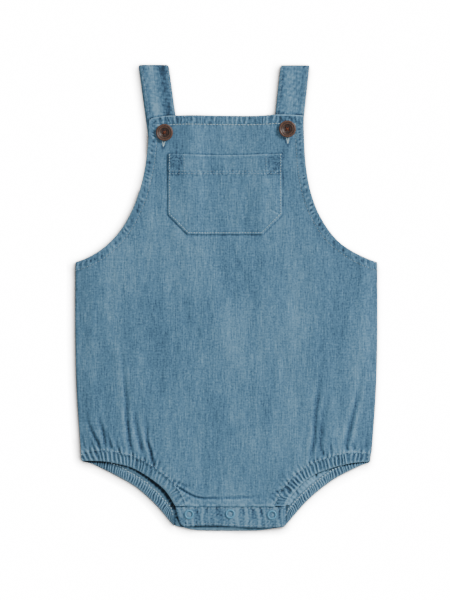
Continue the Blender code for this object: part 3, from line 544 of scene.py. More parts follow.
def seam_ruffles(xy):
    """The casings' ruches where they run on into the front, and how strong they still are there."""
    ridge, strength = np.full(len(xy), 0.4), np.zeros(len(xy))
    for side, rails in FRONT_CASINGS.items():
        pitch, seed, lean = FRONT_RUCHES[side]
        low, high = rails[2].min(axis=0) - RUFFLE_REACH, rails[2].max(axis=0) + RUFFLE_REACH
        near = np.flatnonzero(np.all((xy > low) & (xy < high), axis=1))
        if len(near) == 0:
            continue
        distance, share = nearest_on_path(xy[near], rails[2][::5])
        ridge[near] = ruche_waves(share, 1 + distance / FRONT_CASING_WIDTH, side, pitch, seed, lean)
        strength[near] = falloff(distance, RUFFLE_REACH / 2)
    below_hem = (BIB_HEM_LINE - xy[:, 1]) / 0.0032
    near = np.flatnonzero((below_hem < 2.5) & (np.abs(xy[:, 0]) < BIB_HALF_WIDTH))
    if len(near):
        ridge[near] = bib_puckers(xy[near])
        strength[near] = 0.5 * np.exp(-np.abs(below_hem[near]))
    return ridge, strength


def crease_depth(xy):
    """How far the creases press the front down, with a soft ridge on each side of a trough."""
    total = np.zeros(len(xy))
    for depth, half_width, path in ALL_CREASES:
        path = np.asarray(path)
        reach = CREASE_REACH * half_width
        low, high = path.min(axis=0) - reach, path.max(axis=0) + reach
        near = np.flatnonzero(np.all((xy > low) & (xy < high), axis=1))
        if len(near) == 0:
            continue
        distance, along = nearest_on_path(xy[near], path)
        r = distance / half_width
        fade = (1 - smoothstep(0.25, 1.0, along)) * (0.35 + 0.65 * smoothstep(0.0, 0.10, along))
        total[near] += depth * fade * (1 - CREASE_RIDGE * r * r) * np.exp(-0.5 * r * r)
    return total


def front_casing_underside(xy):
    """Height of the front casings' undersides, which come down to the back's at the side seams."""
    rise = smoothstep(0.0, SIDE_ROLL, from_side_edge(xy))
    return FRONT_CASING_REST_AT_SIDE + (FRONT_CASING_REST - FRONT_CASING_REST_AT_SIDE) * rise


def front_lie(xy):
    """Height of the front's inner face without its creases."""
    from_side = from_side_edge(xy)
    below_straps = 1 - smoothstep(*STRAP_SLOPE_START, xy[:, 1])
    height = FRONT_REST + BODY_LOFT * smoothstep(0.0, EDGE_ROLL, from_side) * below_straps
    over_strap = 2 * WALL + STRAP_LOFT + SEAM_GAP - FRONT_REST
    height = height + over_strap * smoothstep(*STRAP_SLOPE, np.abs(xy[:, 0])) * (1 - below_straps)
    from_legs = np.minimum(*(nearest_on_path(xy, seam)[0] for seam in FRONT_SEAMS))
    at_crotch = np.abs(xy[:, 0]) < CROTCH_HALF_WIDTH
    from_legs = np.where(at_crotch, np.minimum(from_legs, xy[:, 1] - PLACKET_SEAM), from_legs)
    centred = (CASING_THICKNESS - WALL) / 2 * smoothstep(0.0, SIDE_ROLL, from_side)
    at_casing = front_casing_underside(xy) + centred
    return height + (at_casing - height) * (1 - smoothstep(0.0, CASING_RISE_REACH, from_legs))


def front_puff(xy):
    """The air under the body's lower half, and the slight unevenness of cloth laid by hand."""
    settings = bpy.context.scene.overalls
    inset = smoothstep(0.004, 0.055, from_side_edge(xy))
    low_down = 1 - smoothstep(-0.030, 0.060, xy[:, 1])
    above_legs = smoothstep(-0.1890, -0.1500, xy[:, 1])
    soft = 0.00022 * ripples(xy, 0.060, 7, (0.7, 1.6)) + 0.00010 * ripples(xy, 0.018, 8, (0.6, 1.8))
    edge = smoothstep(0.002, 0.012, from_side_edge(xy))
    return settings.body_puff * inset * low_down * above_legs + (soft + 0.00030) * edge


def front_top(xy):
    """Height of the front's outer face."""
    settings = bpy.context.scene.overalls
    ridge, strength = seam_ruffles(xy)
    ruffle = 0.6 * settings.ruche_depth * (ridge - 0.3) * strength
    return front_lie(xy) + WALL + front_puff(xy) + ruffle - crease_depth(xy) * settings.crease_depth


# Meshes


def set_point_data(mesh, name, kind, values):
    """Stores one number or vector per vertex."""
    layer = mesh.attributes.new(name, kind, "POINT")
    layer.data.foreach_set("vector" if kind == "FLOAT_VECTOR" else "value", np.asarray(values, float).ravel())


def add_mesh(name, points, faces, materials, tone=None, cloth=None, second=()):
    """A smooth-shaded mesh object. Faces listed in second take the second material."""
    mesh = bpy.data.meshes.new(name)
    mesh.from_pydata([tuple(p) for p in points], [], faces)
    mesh.shade_smooth()
    for finish in materials:
        mesh.materials.append(finish)
    for face in second:
        mesh.polygons[face].material_index = 1
    set_point_data(mesh, "tone", "FLOAT", np.zeros(len(points)) if tone is None else tone)
    set_point_data(mesh, "cloth", "FLOAT_VECTOR", points if cloth is None else cloth)
    piece = bpy.data.objects.new(name, mesh)
    bpy.context.scene.collection.objects.link(piece)
    return piece


def ringed_faces(rings, size, closed=False):
    """Faces that join rings of equal size one after the other, with end caps unless the last meets the first."""
    faces = []
    for k in range(rings if closed else rings - 1):
        here, there = k * size, (k + 1) % rings * size
        for j in range(size):
            step = (j + 1) % size
            faces.append((here + j, here + step, there + step, there + j))
    if not closed:
        faces.append(tuple(reversed(range(size))))
        faces.append(tuple(range((rings - 1) * size, rings * size)))
    return faces


def face_outwards(piece):
    """Turns the faces of a closed mesh outwards."""
    body = bmesh.new()
    body.from_mesh(piece.data)
    bmesh.ops.recalc_face_normals(body, faces=body.faces)
    body.to_mesh(piece.data)
    body.free()
    return piece


def cloth_shell(name, outline, points, low, high, tone, materials, under=False):
    """A closed wall of cloth over a flat outline. low, high and tone are functions of xy."""
    corners = [Vector(p) for p in np.vstack((outline, points))]
    flat, _, triangles, *_ = delaunay_2d_cdt(corners, [], [list(range(len(outline)))], CDT_INSIDE, MERGE_DISTANCE)
    xy = np.array([(p.x, p.y) for p in flat])
    count = len(xy)
    edges = {edge for a, b, c in triangles for edge in ((a, b), (b, c), (c, a))}
    faces = [tuple(i + count for i in t) for t in triangles]
    faces += [tuple(reversed(t)) for t in triangles]
    faces += [(a, b, b + count, a + count) for a, b in sorted(edges) if (b, a) not in edges]
    z_low, z_high, shade = low(xy), high(xy), tone(xy)
    stacked = np.vstack((np.column_stack((xy, z_low)), np.column_stack((xy, z_high))))
    cloth = np.column_stack((np.vstack((xy, xy)), np.zeros(2 * count)))
    second = range(len(triangles), len(faces)) if under else ()
    return add_mesh(name, stacked, faces, materials, np.concatenate((shade, shade)), cloth, second)


def sewn_strip(name, free, seam, across, low, high, tone, materials, cloth=None):
    """A closed strip of cloth between its free edge and its seam.

    low, high and tone are functions of xy, the share t along and the share u across, on a grid of points.
    """
    u = np.asarray(across)
    count, width = len(free), len(u)
    grid = free[:, None, :] + (seam - free)[:, None, :] * u[None, :, None]
    xy = grid.reshape(-1, 2)
    t = np.repeat(np.linspace(0.0, 1.0, count), width)
    share = np.tile(u, count)
    top = np.column_stack((xy, high(xy, t, share))).reshape(count, width, 3)
    bottom = np.column_stack((xy, low(xy, t, share))).reshape(count, width, 3)[:, ::-1]
    rings = np.concatenate((top, bottom), axis=1)
    shade = tone(xy, t, share).reshape(count, width)
    shade = np.concatenate((shade, shade[:, ::-1]), axis=1)
    if cloth is None:
        place = np.column_stack((xy, np.zeros(len(xy))))
    else:
        place = cloth(xy, t, share)
    place = place.reshape(count, width, 3)
    place = np.concatenate((place, place[:, ::-1]), axis=1)
    faces = ringed_faces(count, 2 * width)
    piece = add_mesh(name, rings.reshape(-1, 3), faces, materials, shade.ravel(), place.reshape(-1, 3))
    return face_outwards(piece)


def edge_samples(fine=0.05, count=12):
    """Shares across a strip, closer together at its two edges."""
    middle = np.linspace(0.0, 1.0, count)
    return np.unique(np.round(np.concatenate(([0.0, fine / 2, fine], middle, [1 - fine, 1 - fine / 2])), 5))


def rounded(u, edge):
    """1 in the middle of a strip, falling off in a quarter circle within the share edge of each side."""
    near = np.clip(np.minimum(u, 1 - u) / edge, 0.0, 1.0)
    return np.sqrt(np.clip(1 - (1 - near) ** 2, 0.0, 1.0))


def rolled_rim(from_rim, reach, least):
    """How full a wall of cloth is near its rim, from least at the rim to 1 within reach of it."""
    return least + (1 - least) * rounded(np.clip(from_rim / reach, 0, 0.5), 0.5)


def finish_piece(piece, slot, *nodes):
    """The piece moves with the garment and stands for its nodes."""
    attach(piece, "root")
    if nodes:
        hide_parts(*nodes)
    return piece


# Node groups and materials


class NodeTree:
    """Builds a node tree a few lines at a time."""

    def __init__(self, tree):
        self.tree = tree

    def add(self, kind, values=None, **settings):
        """A node with its settings, and its inputs set to values or linked from sockets."""
        node = self.tree.nodes.new(kind)
        for key, value in settings.items():
            setattr(node, key, value)
        for key, value in (values or {}).items():
            if isinstance(value, bpy.types.NodeSocket):
                self.tree.links.new(value, node.inputs[key])
            else:
                node.inputs[key].default_value = value
        return node

    def math(self, operation, first, second=0.0, third=0.0):
        """The output of a Math node."""
        values = {0: first, 1: second, 2: third}
        return self.add("ShaderNodeMath", values, operation=operation).outputs[0]

    def noise(self, vector, scale, detail=2.0, roughness=0.5):
        """A noise pattern, centred on 0, with its own scale along each axis of the cloth in 1/mm."""
        spread = self.add("ShaderNodeVectorMath", {0: vector, 1: scale}, operation="MULTIPLY").outputs[0]
        values = {"Vector": spread, "Scale": 1.0, "Detail": detail, "Roughness": roughness}
        return self.math("SUBTRACT", self.add("ShaderNodeTexNoise", values).outputs[0], 0.5)

    def bump(self, shader, height, distance):
        """Gives a shader a surface raised by a pattern."""
        raised = self.add("ShaderNodeBump", {"Height": height, "Distance": distance})
        self.tree.links.new(raised.outputs["Normal"], shader.inputs["Normal"])

    def mix(self, factor, first, second):
        """The mix of two colours."""
        node = self.add("ShaderNodeMix", data_type="RGBA")
        for index, value in ((0, factor), (6, first), (7, second)):
            if isinstance(value, bpy.types.NodeSocket):
                self.tree.links.new(value, node.inputs[index])
            else:
                node.inputs[index].default_value = value
        return node.outputs[2]


def new_group(name, inputs, outputs):
    """A shader node group with named sockets. Returns it and its builder, input and output nodes."""
    group = bpy.data.node_groups.new(name, "ShaderNodeTree")
    for label, kind, value in inputs:
        socket = group.interface.new_socket(label, in_out="INPUT", socket_type=kind)
        if value is not None:
            socket.default_value = value
    for label, kind in outputs:
        group.interface.new_socket(label, in_out="OUTPUT", socket_type=kind)
    build = NodeTree(group)
    return group, build, build.add("NodeGroupInput"), build.add("NodeGroupOutput")


def denim_group():
    """Washed denim: warp streaks, slubs, faint weft, mottling, painted shade towards near black at the lowest
    tones, and the weave's height.
    """
    name = "Washed denim"
    if name in bpy.data.node_groups:
        return bpy.data.node_groups[name]
    group, build, given, result = new_group(
        name,
        [
            ("Cloth", "NodeSocketVector", None), ("Tone", "NodeSocketFloat", 0.0),
            ("Deep", "NodeSocketColor", (0.05, 0.12, 0.2, 1)), ("Middle", "NodeSocketColor", (0.1, 0.2, 0.3, 1)),
            ("Pale", "NodeSocketColor", (0.3, 0.45, 0.55, 1)), ("Streaks", "NodeSocketFloat", 1.0),
            ("Grain", "NodeSocketFloat", 1.0), ("Thread Pitch", "NodeSocketFloat", 0.55),
        ],
        [("Color", "NodeSocketColor"), ("Height", "NodeSocketFloat"), ("Roughness", "NodeSocketFloat")],
    )
    in_mm = build.add("ShaderNodeVectorMath", {0: given.outputs["Cloth"], "Scale": 1000.0}, operation="SCALE")
    vector = in_mm.outputs[0]
    streak = build.noise(vector, (0.95, 0.080, 0.4), 2.0, 0.6)
    band = build.noise(vector, (0.09, 0.012, 0.1), 2.0, 0.5)
    weft = build.noise(vector, (0.10, 0.70, 0.4), 2.0, 0.55)
    broad = build.noise(vector, (0.024, 0.010, 0.02), 2.0, 0.5)
    speck = build.noise(vector, (0.62, 0.60, 0.9), 1.0, 0.7)
    slub = build.noise(vector, (1.00, 0.035, 0.5), 1.0, 0.4)
    slub = build.math("MULTIPLY", build.add(
        "ShaderNodeMapRange", {"Value": slub, "From Min": 0.10, "From Max": 0.24, "To Min": 0.0, "To Max": 1.0},
    ).outputs[0], 0.14)
    streaks = build.math("MULTIPLY", streak, 1.06)
    streaks = build.math("MULTIPLY_ADD", band, 0.46, streaks)
    streaks = build.math("ADD", streaks, slub)
    streaks = build.math("MULTIPLY", streaks, given.outputs["Streaks"])
    grain = build.math("MULTIPLY_ADD", weft, 0.42, build.math("MULTIPLY", speck, 0.95))
    grain = build.math("MULTIPLY", grain, given.outputs["Grain"])
    total = build.math("ADD", build.math("ADD", streaks, grain), build.math("MULTIPLY_ADD", broad, 0.70, 0.5))
    total = build.math("ADD", total, given.outputs["Tone"])
    low = build.add("ShaderNodeMapRange", {"Value": total, "From Min": 0.0, "From Max": 0.5}).outputs[0]
    high = build.add("ShaderNodeMapRange", {"Value": total, "From Min": 0.5, "From Max": 1.0}).outputs[0]
    colour = build.mix(low, given.outputs["Deep"], given.outputs["Middle"])
    colour = build.mix(high, colour, given.outputs["Pale"])
    # Tones below 0 darken towards near black: painted shade
    gloom = build.add(
        "ShaderNodeMapRange", {"Value": total, "From Min": -0.9, "From Max": 0.0, "To Min": 0.10, "To Max": 1.0},
    ).outputs[0]
    colour = build.mix(gloom, (0.004, 0.007, 0.012, 1.0), colour)
    split = build.add("ShaderNodeSeparateXYZ", {0: vector})
    turns = build.math("DIVIDE", 2 * math.pi, given.outputs["Thread Pitch"])
    warp = build.math("SINE", build.math("MULTIPLY", split.outputs["X"], turns))
    filling = build.math("SINE", build.math("MULTIPLY", split.outputs["Y"], turns))
    weave = build.math("MULTIPLY", build.math("MULTIPLY", warp, filling), 0.35)
    weave = build.math("MULTIPLY_ADD", warp, 0.25, weave)
    height = build.math("ADD", weave, build.math("MULTIPLY", build.math("ADD", streak, speck), 1.6))
    rough = build.math("MULTIPLY_ADD", speck, 0.25, 0.86)
    for label, socket in (("Color", colour), ("Height", height), ("Roughness", rough)):
        group.links.new(socket, result.inputs[label])
    return group


def new_material(name):
    """An empty node material with a Principled shader."""
    made = bpy.data.materials.new(name)
    made.use_nodes = True
    build = NodeTree(made.node_tree)
    return made, build, made.node_tree.nodes["Principled BSDF"]


def denim(name, deep, middle, pale, streaks=1.0, grain=1.0):
    """A denim finish that reads the piece's own cloth coordinates and tone."""
    if name in bpy.data.materials:
        return bpy.data.materials[name]
    made, build, shader = new_material(name)
    cloth = build.add("ShaderNodeAttribute", attribute_name="cloth")
    tone = build.add("ShaderNodeAttribute", attribute_name="tone")
    weave = build.add("ShaderNodeGroup", node_tree=denim_group())
    for key, value in (("Deep", deep), ("Middle", middle), ("Pale", pale)):
        weave.inputs[key].default_value = (*value, 1.0)
    weave.inputs["Streaks"].default_value = streaks
    weave.inputs["Grain"].default_value = grain
    links = made.node_tree.links
    links.new(cloth.outputs["Vector"], weave.inputs["Cloth"])
    links.new(tone.outputs["Fac"], weave.inputs["Tone"])
    links.new(weave.outputs["Color"], shader.inputs["Base Color"])
    links.new(weave.outputs["Roughness"], shader.inputs["Roughness"])
    build.bump(shader, weave.outputs["Height"], 0.00012)
    shader.inputs["Specular IOR Level"].default_value = 0.22
    shader.inputs["Sheen Weight"].default_value = 0.12
    shader.inputs["Sheen Roughness"].default_value = 0.5
    return made


def face_denim():
    """The right side of the cloth."""
    settings = bpy.context.scene.overalls
    return denim("denim_face", settings.denim_deep, settings.denim_middle, settings.denim_pale)


def inside_denim():
    """The wrong side of the cloth, which is paler."""
    settings = bpy.context.scene.overalls
    middle = tuple(0.45 * a + 0.55 * b for a, b in zip(settings.denim_middle, settings.denim_pale))
    pale = tuple(min(1.0, 1.25 * value) for value in settings.denim_pale)
    return denim("denim_inside", settings.denim_middle, middle, pale, 0.8, 0.9)


def placket_denim():
    """The doubled cloth of the plackets, a little deeper in colour."""
    settings = bpy.context.scene.overalls
    deep, middle, pale = (
        tuple(0.93 * value for value in colour)
        for colour in (settings.denim_deep, settings.denim_middle, settings.denim_pale)
    )
    return denim("denim_placket_cloth", deep, middle, pale)


def thread_material(name, colour):
    """Cotton sewing thread, twisted."""
    if name in bpy.data.materials:
        return bpy.data.materials[name]
    made, build, shader = new_material(name)
    place = build.add("ShaderNodeTexCoord")
    fuzz = build.add("ShaderNodeTexNoise", {"Vector": place.outputs["Object"], "Scale": 2600.0, "Detail": 2.0})
    dark = (*(0.62 * value for value in colour), 1.0)
    shade = build.mix(fuzz.outputs[0], dark, (*(min(1.0, 1.3 * value) for value in colour), 1.0))
    made.node_tree.links.new(shade, shader.inputs["Base Color"])
    build.bump(shader, fuzz.outputs[0], 0.00008)
    shader.inputs["Roughness"].default_value = 0.8
    return made


def coconut_material():
    """Polished coconut shell: brown with fine curved grain and dark flecks."""
    if "coconut_shell" in bpy.data.materials:
        return bpy.data.materials["coconut_shell"]
    settings = bpy.context.scene.overalls
    made, build, shader = new_material("coconut_shell")
    links = made.node_tree.links
    place = build.add("ShaderNodeTexCoord")
    tone = build.add("ShaderNodeAttribute", attribute_name="tone")
    grain_scale = {0: place.outputs["Object"], 1: (900.0, 260.0, 500.0)}
    along_grain = build.add("ShaderNodeVectorMath", grain_scale, operation="MULTIPLY").outputs[0]
    grain = build.add(
        "ShaderNodeTexNoise", {"Vector": along_grain, "Scale": 1.0, "Detail": 4.0, "Roughness": 0.65},
    )
    flecks = build.add("ShaderNodeTexNoise", {"Vector": place.outputs["Object"], "Scale": 2400.0, "Detail": 2.0})
    level = build.math("MULTIPLY_ADD", build.math("SUBTRACT", grain.outputs[0], 0.5), 1.3, 0.5)
    level = build.math("MULTIPLY_ADD", build.math("SUBTRACT", flecks.outputs[0], 0.5), 0.6, level)
    # The tone adds the profile's painted shade and painted highlight
    level = build.math("ADD", level, tone.outputs["Fac"])
    level = build.add("ShaderNodeClamp", {"Value": level}).outputs[0]
    colour = build.mix(level, (*settings.button_dark, 1.0), (*settings.button_light, 1.0))
    links.new(colour, shader.inputs["Base Color"])
    rough = build.math("MULTIPLY_ADD", flecks.outputs[0], 0.25, 0.33)
    links.new(rough, shader.inputs["Roughness"])
    build.bump(shader, grain.outputs[0], 0.0001)
    return made


def enamel_material():
    """Blue lacquer on the press studs, slightly rubbed."""
    if "stud_lacquer" in bpy.data.materials:
        return bpy.data.materials["stud_lacquer"]
    settings = bpy.context.scene.overalls
    made, build, shader = new_material("stud_lacquer")
    links = made.node_tree.links
    place = build.add("ShaderNodeTexCoord")
    rub = build.add("ShaderNodeTexNoise", {"Vector": place.outputs["Object"], "Scale": 900.0, "Detail": 3.0})
    dark = (*(0.75 * value for value in settings.stud_colour), 1.0)
    links.new(build.mix(rub.outputs[0], dark, (*settings.stud_colour, 1.0)), shader.inputs["Base Color"])
    links.new(build.math("MULTIPLY_ADD", rub.outputs[0], 0.3, 0.2), shader.inputs["Roughness"])
    build.bump(shader, rub.outputs[0], 0.00005)
    return made


# Stitching


def stitch_tree():
    """Geometry Nodes: running stitches at an even pitch along edges, each a little uneven."""
    name = "Running stitches"
    if name in bpy.data.node_groups:
        return bpy.data.node_groups[name]
    tree = bpy.data.node_groups.new(name, "GeometryNodeTree")
    tree.interface.new_socket("Geometry", in_out="INPUT", socket_type="NodeSocketGeometry")
    for label, value in (("Pitch", 0.003), ("Length", 0.0023), ("Thickness", 0.0004), ("Turn", 0.0)):
        socket = tree.interface.new_socket(label, in_out="INPUT", socket_type="NodeSocketFloat")
        socket.default_value = value
    seed = tree.interface.new_socket("Seed", in_out="INPUT", socket_type="NodeSocketInt")
    seed.default_value = 3
    tree.interface.new_socket("Thread", in_out="INPUT", socket_type="NodeSocketMaterial")
    tree.interface.new_socket("Geometry", in_out="OUTPUT", socket_type="NodeSocketGeometry")
    build = NodeTree(tree)
    given, result = build.add("NodeGroupInput"), build.add("NodeGroupOutput")
    line = build.add("GeometryNodeMeshToCurve", {"Mesh": given.outputs["Geometry"]}).outputs[0]
    line = build.add("GeometryNodeResampleCurve", {"Curve": line, "Length": given.outputs["Pitch"]}, mode="LENGTH")
    tangent = build.add("GeometryNodeInputTangent").outputs[0]
    facing = build.add("FunctionNodeAlignRotationToVector", {"Vector": tangent}, axis="X", pivot_axis="Z")
    uneven = build.add("FunctionNodeRandomValue", {"Seed": given.outputs["Seed"]}, data_type="FLOAT")
    for socket, value in zip([s for s in uneven.inputs if s.enabled and s.type == "VALUE"][:2], (-0.10, 0.10)):
        socket.default_value = value
    wobble = next(s for s in uneven.outputs if s.enabled)
    turn = build.math("ADD", given.outputs["Turn"], wobble)
    spin = build.add("ShaderNodeCombineXYZ", {"Z": turn}).outputs[0]
    spin = build.add("FunctionNodeEulerToRotation", {0: spin}).outputs[0]
    facing = build.add("FunctionNodeRotateRotation", {0: facing.outputs[0], 1: spin}, rotation_space="LOCAL")
    bead = build.add("GeometryNodeMeshUVSphere", {"Segments": 6, "Rings": 5, "Radius": 0.5}).outputs[0]
    size = build.add(
        "ShaderNodeCombineXYZ",
        {"X": given.outputs["Length"], "Y": given.outputs["Thickness"], "Z": given.outputs["Thickness"]},
    ).outputs[0]
    placed = build.add(
        "GeometryNodeInstanceOnPoints",
        {"Points": line.outputs[0], "Instance": bead, "Rotation": facing.outputs[0], "Scale": size},
    ).outputs[0]
    placed = build.add("GeometryNodeRealizeInstances", {"Geometry": placed}).outputs[0]
    placed = build.add("GeometryNodeSetShadeSmooth", {0: placed}).outputs[0]
    placed = build.add("GeometryNodeSetMaterial", {"Geometry": placed, "Material": given.outputs["Thread"]})
    tree.links.new(placed.outputs[0], result.inputs[0])
    return tree


def stitched(name, lines, thread, length=None, pitch=None, thickness=None, turn=0.0, seed=3):
    """A plain mesh of stitches along the given lines of 3-D points."""
    settings = bpy.context.scene.overalls
    points, edges = [], []
    for line in lines:
        first = len(points)
        points += [tuple(p) for p in line]
        edges += [(first + k, first + k + 1) for k in range(len(line) - 1)]
    mesh = bpy.data.meshes.new(name + "_path")
    mesh.from_pydata(points, edges, [])
    guide = bpy.data.objects.new(name + "_path", mesh)
    bpy.context.scene.collection.objects.link(guide)
    tree = stitch_tree()
    modifier = guide.modifiers.new("stitches", "NODES")
    modifier.node_group = tree
    values = {
        "Pitch": pitch or settings.stitch_pitch,
        "Length": length or settings.stitch_length,
        "Thickness": thickness or settings.stitch_thickness,
        "Turn": turn,
        "Seed": seed,
        "Thread": thread,
    }
    for item in tree.interface.items_tree:
        if item.in_out == "INPUT" and item.name in values:
            modifier[item.identifier] = values[item.name]
    graph = bpy.context.evaluated_depsgraph_get()
    made = bpy.data.meshes.new_from_object(guide.evaluated_get(graph))
    if len(made.polygons) == 0:
        raise RuntimeError(f"{name} has no stitches")
    made.name = name
    bpy.data.objects.remove(guide, do_unlink=True)
    if not made.materials:
        made.materials.append(thread)
    piece = bpy.data.objects.new(name, made)
    bpy.context.scene.collection.objects.link(piece)
    return piece


def on_surface(path, height, above=0.0):
    """3-D points of a flat path laid on a surface."""
    path = by_step(path, RIM_STEP)
    return np.column_stack((path, height(path) + above))


# Pieces


def pocket_outline():
    """The chest pocket's edge, anticlockwise from its top right corner, with both lower corners cut off."""
    middle = (POCKET_LEFT + POCKET_RIGHT) / 2
    rim = ((POCKET_RIGHT, POCKET_TOP), (middle, POCKET_TOP - POCKET_TOP_DIP), (POCKET_LEFT, POCKET_TOP))
    left = [
        (POCKET_LEFT, POCKET_BOTTOM + POCKET_CHAMFER), (POCKET_LEFT + POCKET_CHAMFER, POCKET_BOTTOM),
    ]
    right = [(2 * middle - x, y) for x, y in reversed(left)]
    corners = [*smooth_curve(rim, 60), *left, *right, (POCKET_RIGHT, POCKET_TOP)]
    return np.vstack([by_step((a, b), RIM_STEP)[:-1] for a, b in zip(corners, corners[1:])])


def front_outline():
    """The front's edge, which runs a little way under the hems, casings and placket that are sewn to it."""
    arm = inward(armhole_edge(), ARMHOLE_HEM_WIDTH - UNDER_HEM, None, (0.0, -1.0))
    side = SIDE_EDGE[(SIDE_EDGE[:, 1] < arm[-1, 1] - 0.0010) & (SIDE_EDGE[:, 1] > SIDE_SEAM_END)]
    crotch = PLACKET_SEAM - SEAM_GAP
    left, right = (inward(FRONT_CASINGS[side][2], -UNDER_CASING) for side in ("left", "right"))
    left = left[left[:, 1] > crotch + 0.0006]
    right = right[right[:, 1] > crotch + 0.0006]
    top = BIB_HEM_LINE + UNDER_HEM
    arm = arm[arm[:, 1] < top]
    foot = by_step(((left[-1, 0] + 0.0002, crotch), (right[0, 0] - 0.0002, crotch)), RIM_STEP)
    across = by_step(((-arm[0, 0], top), (arm[0, 0], top)), RIM_STEP)[1:-1]
    outline = np.vstack((arm, side, left, foot, right, mirrored(side), mirrored(arm), across, arm[:1]))
    return by_step(outline, RIM_STEP)[:-1]


def seam_shade(xy):
    """How the front's tone changes near its seams and in its creases, with painted shade, painted highlights and a
    painted shadow.
    """
    depth = crease_depth(xy) / MM
    ridge, strength = seam_ruffles(xy)
    # Painted shade in the creases' troughs and a painted highlight on the ridges beside them
    shade = np.clip(np.where(depth > 0, -0.25 * depth, -0.9 * depth), -0.40, 0.24)
    by_side = smoothstep(0.0820, 0.1020, np.abs(xy[:, 0])) * (xy[:, 1] < -0.1000)
    by_crotch = smoothstep(0.0430, 0.0500, xy[:, 0]) * (1 - smoothstep(0.0680, 0.0780, xy[:, 0]))
    paler = 0.26 * by_side + 0.18 * by_crotch * (xy[:, 1] < -0.1400)
    shade += (1.30 * (ridge - 0.19) + paler) * strength
    below_fold = 1 - smoothstep(-0.1808, -0.1797, xy[:, 1])
    along_fold = smoothstep(-0.0480, -0.0380, xy[:, 0]) * (1 - smoothstep(0.0220, 0.0480, xy[:, 0]))
    for edge in CROTCH_EDGES:
        shade += 0.42 * stroke(xy, edge, 0.0006)
    at_placket = falloff(xy[:, 1] - PLACKET_SEAM - 0.0012, 0.0006)
    dashes = 0.55 * at_placket * np.clip(ripples(xy, 0.0040, 118) + 0.25, 0.0, 1.2)
    shade += (0.06 + 0.10 * ripples(xy, 0.0055, 117) + dashes) * below_fold * along_fold
    shade += 0.10 * falloff(xy[:, 0], 0.045) * (1 - smoothstep(-0.1350, -0.1000, xy[:, 1]))
    shade -= 0.05 * smoothstep(0.0700, 0.1000, xy[:, 0])
    outline = pocket_outline()
    from_pocket = rim_distance(xy, outline)
    # A painted shadow just outside the pocket's rim
    shade -= 0.38 * falloff(from_pocket - 0.0004, 0.0008) * ~inside(xy, outline)
    # Painted shade in the pulls below each buttonhole
    for x, y in BUTTONHOLE_FOOT.values():
        for offset in (-0.0019, 0.0019):
            pull = ((x + 1.6 * offset, y + 0.0035), (x + 0.3 * offset, y - 0.0022))
            shade -= 0.40 * stroke(xy, pull, 0.0008)
    return shade


def make_front():
    """The front, bib and body in one."""
    outline = front_outline()
    pocket = pocket_outline()

    def detailed(xy):
        near_legs = np.minimum(*(nearest_on_path(xy, seam)[0] for seam in FRONT_SEAMS)) < GATHER_ZONE
        near_hem = xy[:, 1] > BIB_HEM_LINE - 0.0060
        near_buttonhole = (xy[:, 1] > 0.1320) & (np.abs(np.abs(xy[:, 0]) - 0.0556) < 0.0060)
        return near_legs | near_hem | near_buttonhole | (rim_distance(xy, pocket) < 0.0028)

    fine = scattered(outline, GATHER_SPACING, detailed)
    coarse = scattered(outline, PANEL_SPACING, lambda xy: ~detailed(xy))

    def low(xy):
        return np.maximum(front_top(xy) - PANEL_SHELL, FRONT_LOWEST)

    piece = cloth_shell("front", outline, np.vstack((fine, coarse)), low, front_top, seam_shade, [face_denim()])
    return finish_piece(piece, "denim", "front_panel")


def hem_top(xy, u, puckers):
    """Height of the outer face of a turned hem of the front, with its puckers from -0.5 to 0.6."""
    form = front_lie(xy) + front_puff(xy) + 0.0005 + (HEM_THICKNESS - 0.0004) * rounded(u, 0.16)
    return form + bpy.context.scene.overalls.pucker_depth * puckers * rounded(u, 0.3)


def hem_underside(xy, t, u):
    """Height of the inner face of a turned hem of the front."""
    return front_lie(xy) + LAYER_GAP


def make_bib_hem():
    """The turned hem along the top of the bib, drawn in by its stitches."""
    count = 260
    curve = smooth_curve(BIB_TOP, count)
    x = np.linspace(BIB_HALF_WIDTH, -BIB_HALF_WIDTH, count + 1)
    free = np.column_stack((x, np.interp(x, curve[:, 0], curve[:, 1])))
    seam = np.column_stack((x, np.full_like(x, BIB_HEM_LINE)))

    def high(xy, t, u):
        return hem_top(xy, u, bib_puckers(xy) - 0.4)

    def tone(xy, t, u):
        from_middle = np.abs(xy[:, 0])
        broken = 0.75 + 0.30 * ripples(xy, 0.0045, 23)
        dark = (bib_puckers(xy) - 0.30) * (1 - 0.7 * smoothstep(0.056, 0.064, from_middle))
        over_strap = smoothstep(0.0430, 0.0460, from_middle)
        shade = 1.05 * dark * broken * smoothstep(0.0, 0.2, u)
        # A paler edge, with a painted highlight on it where the hem lies over the straps
        shade += (0.16 + 0.55 * over_strap) * (1 - smoothstep(0.06, 0.16, u))
        # Painted shade in the hem's pulls
        for pull in BIB_HEM_PULL_SHADES:
            shade -= 0.50 * stroke(xy, pull, 0.0010)
        return shade

    across = edge_samples(0.05, 14)
    piece = sewn_strip("bib_top_hem", free, seam, across, hem_underside, high, tone, [face_denim()])
    return finish_piece(piece, "denim", "bib_hem")


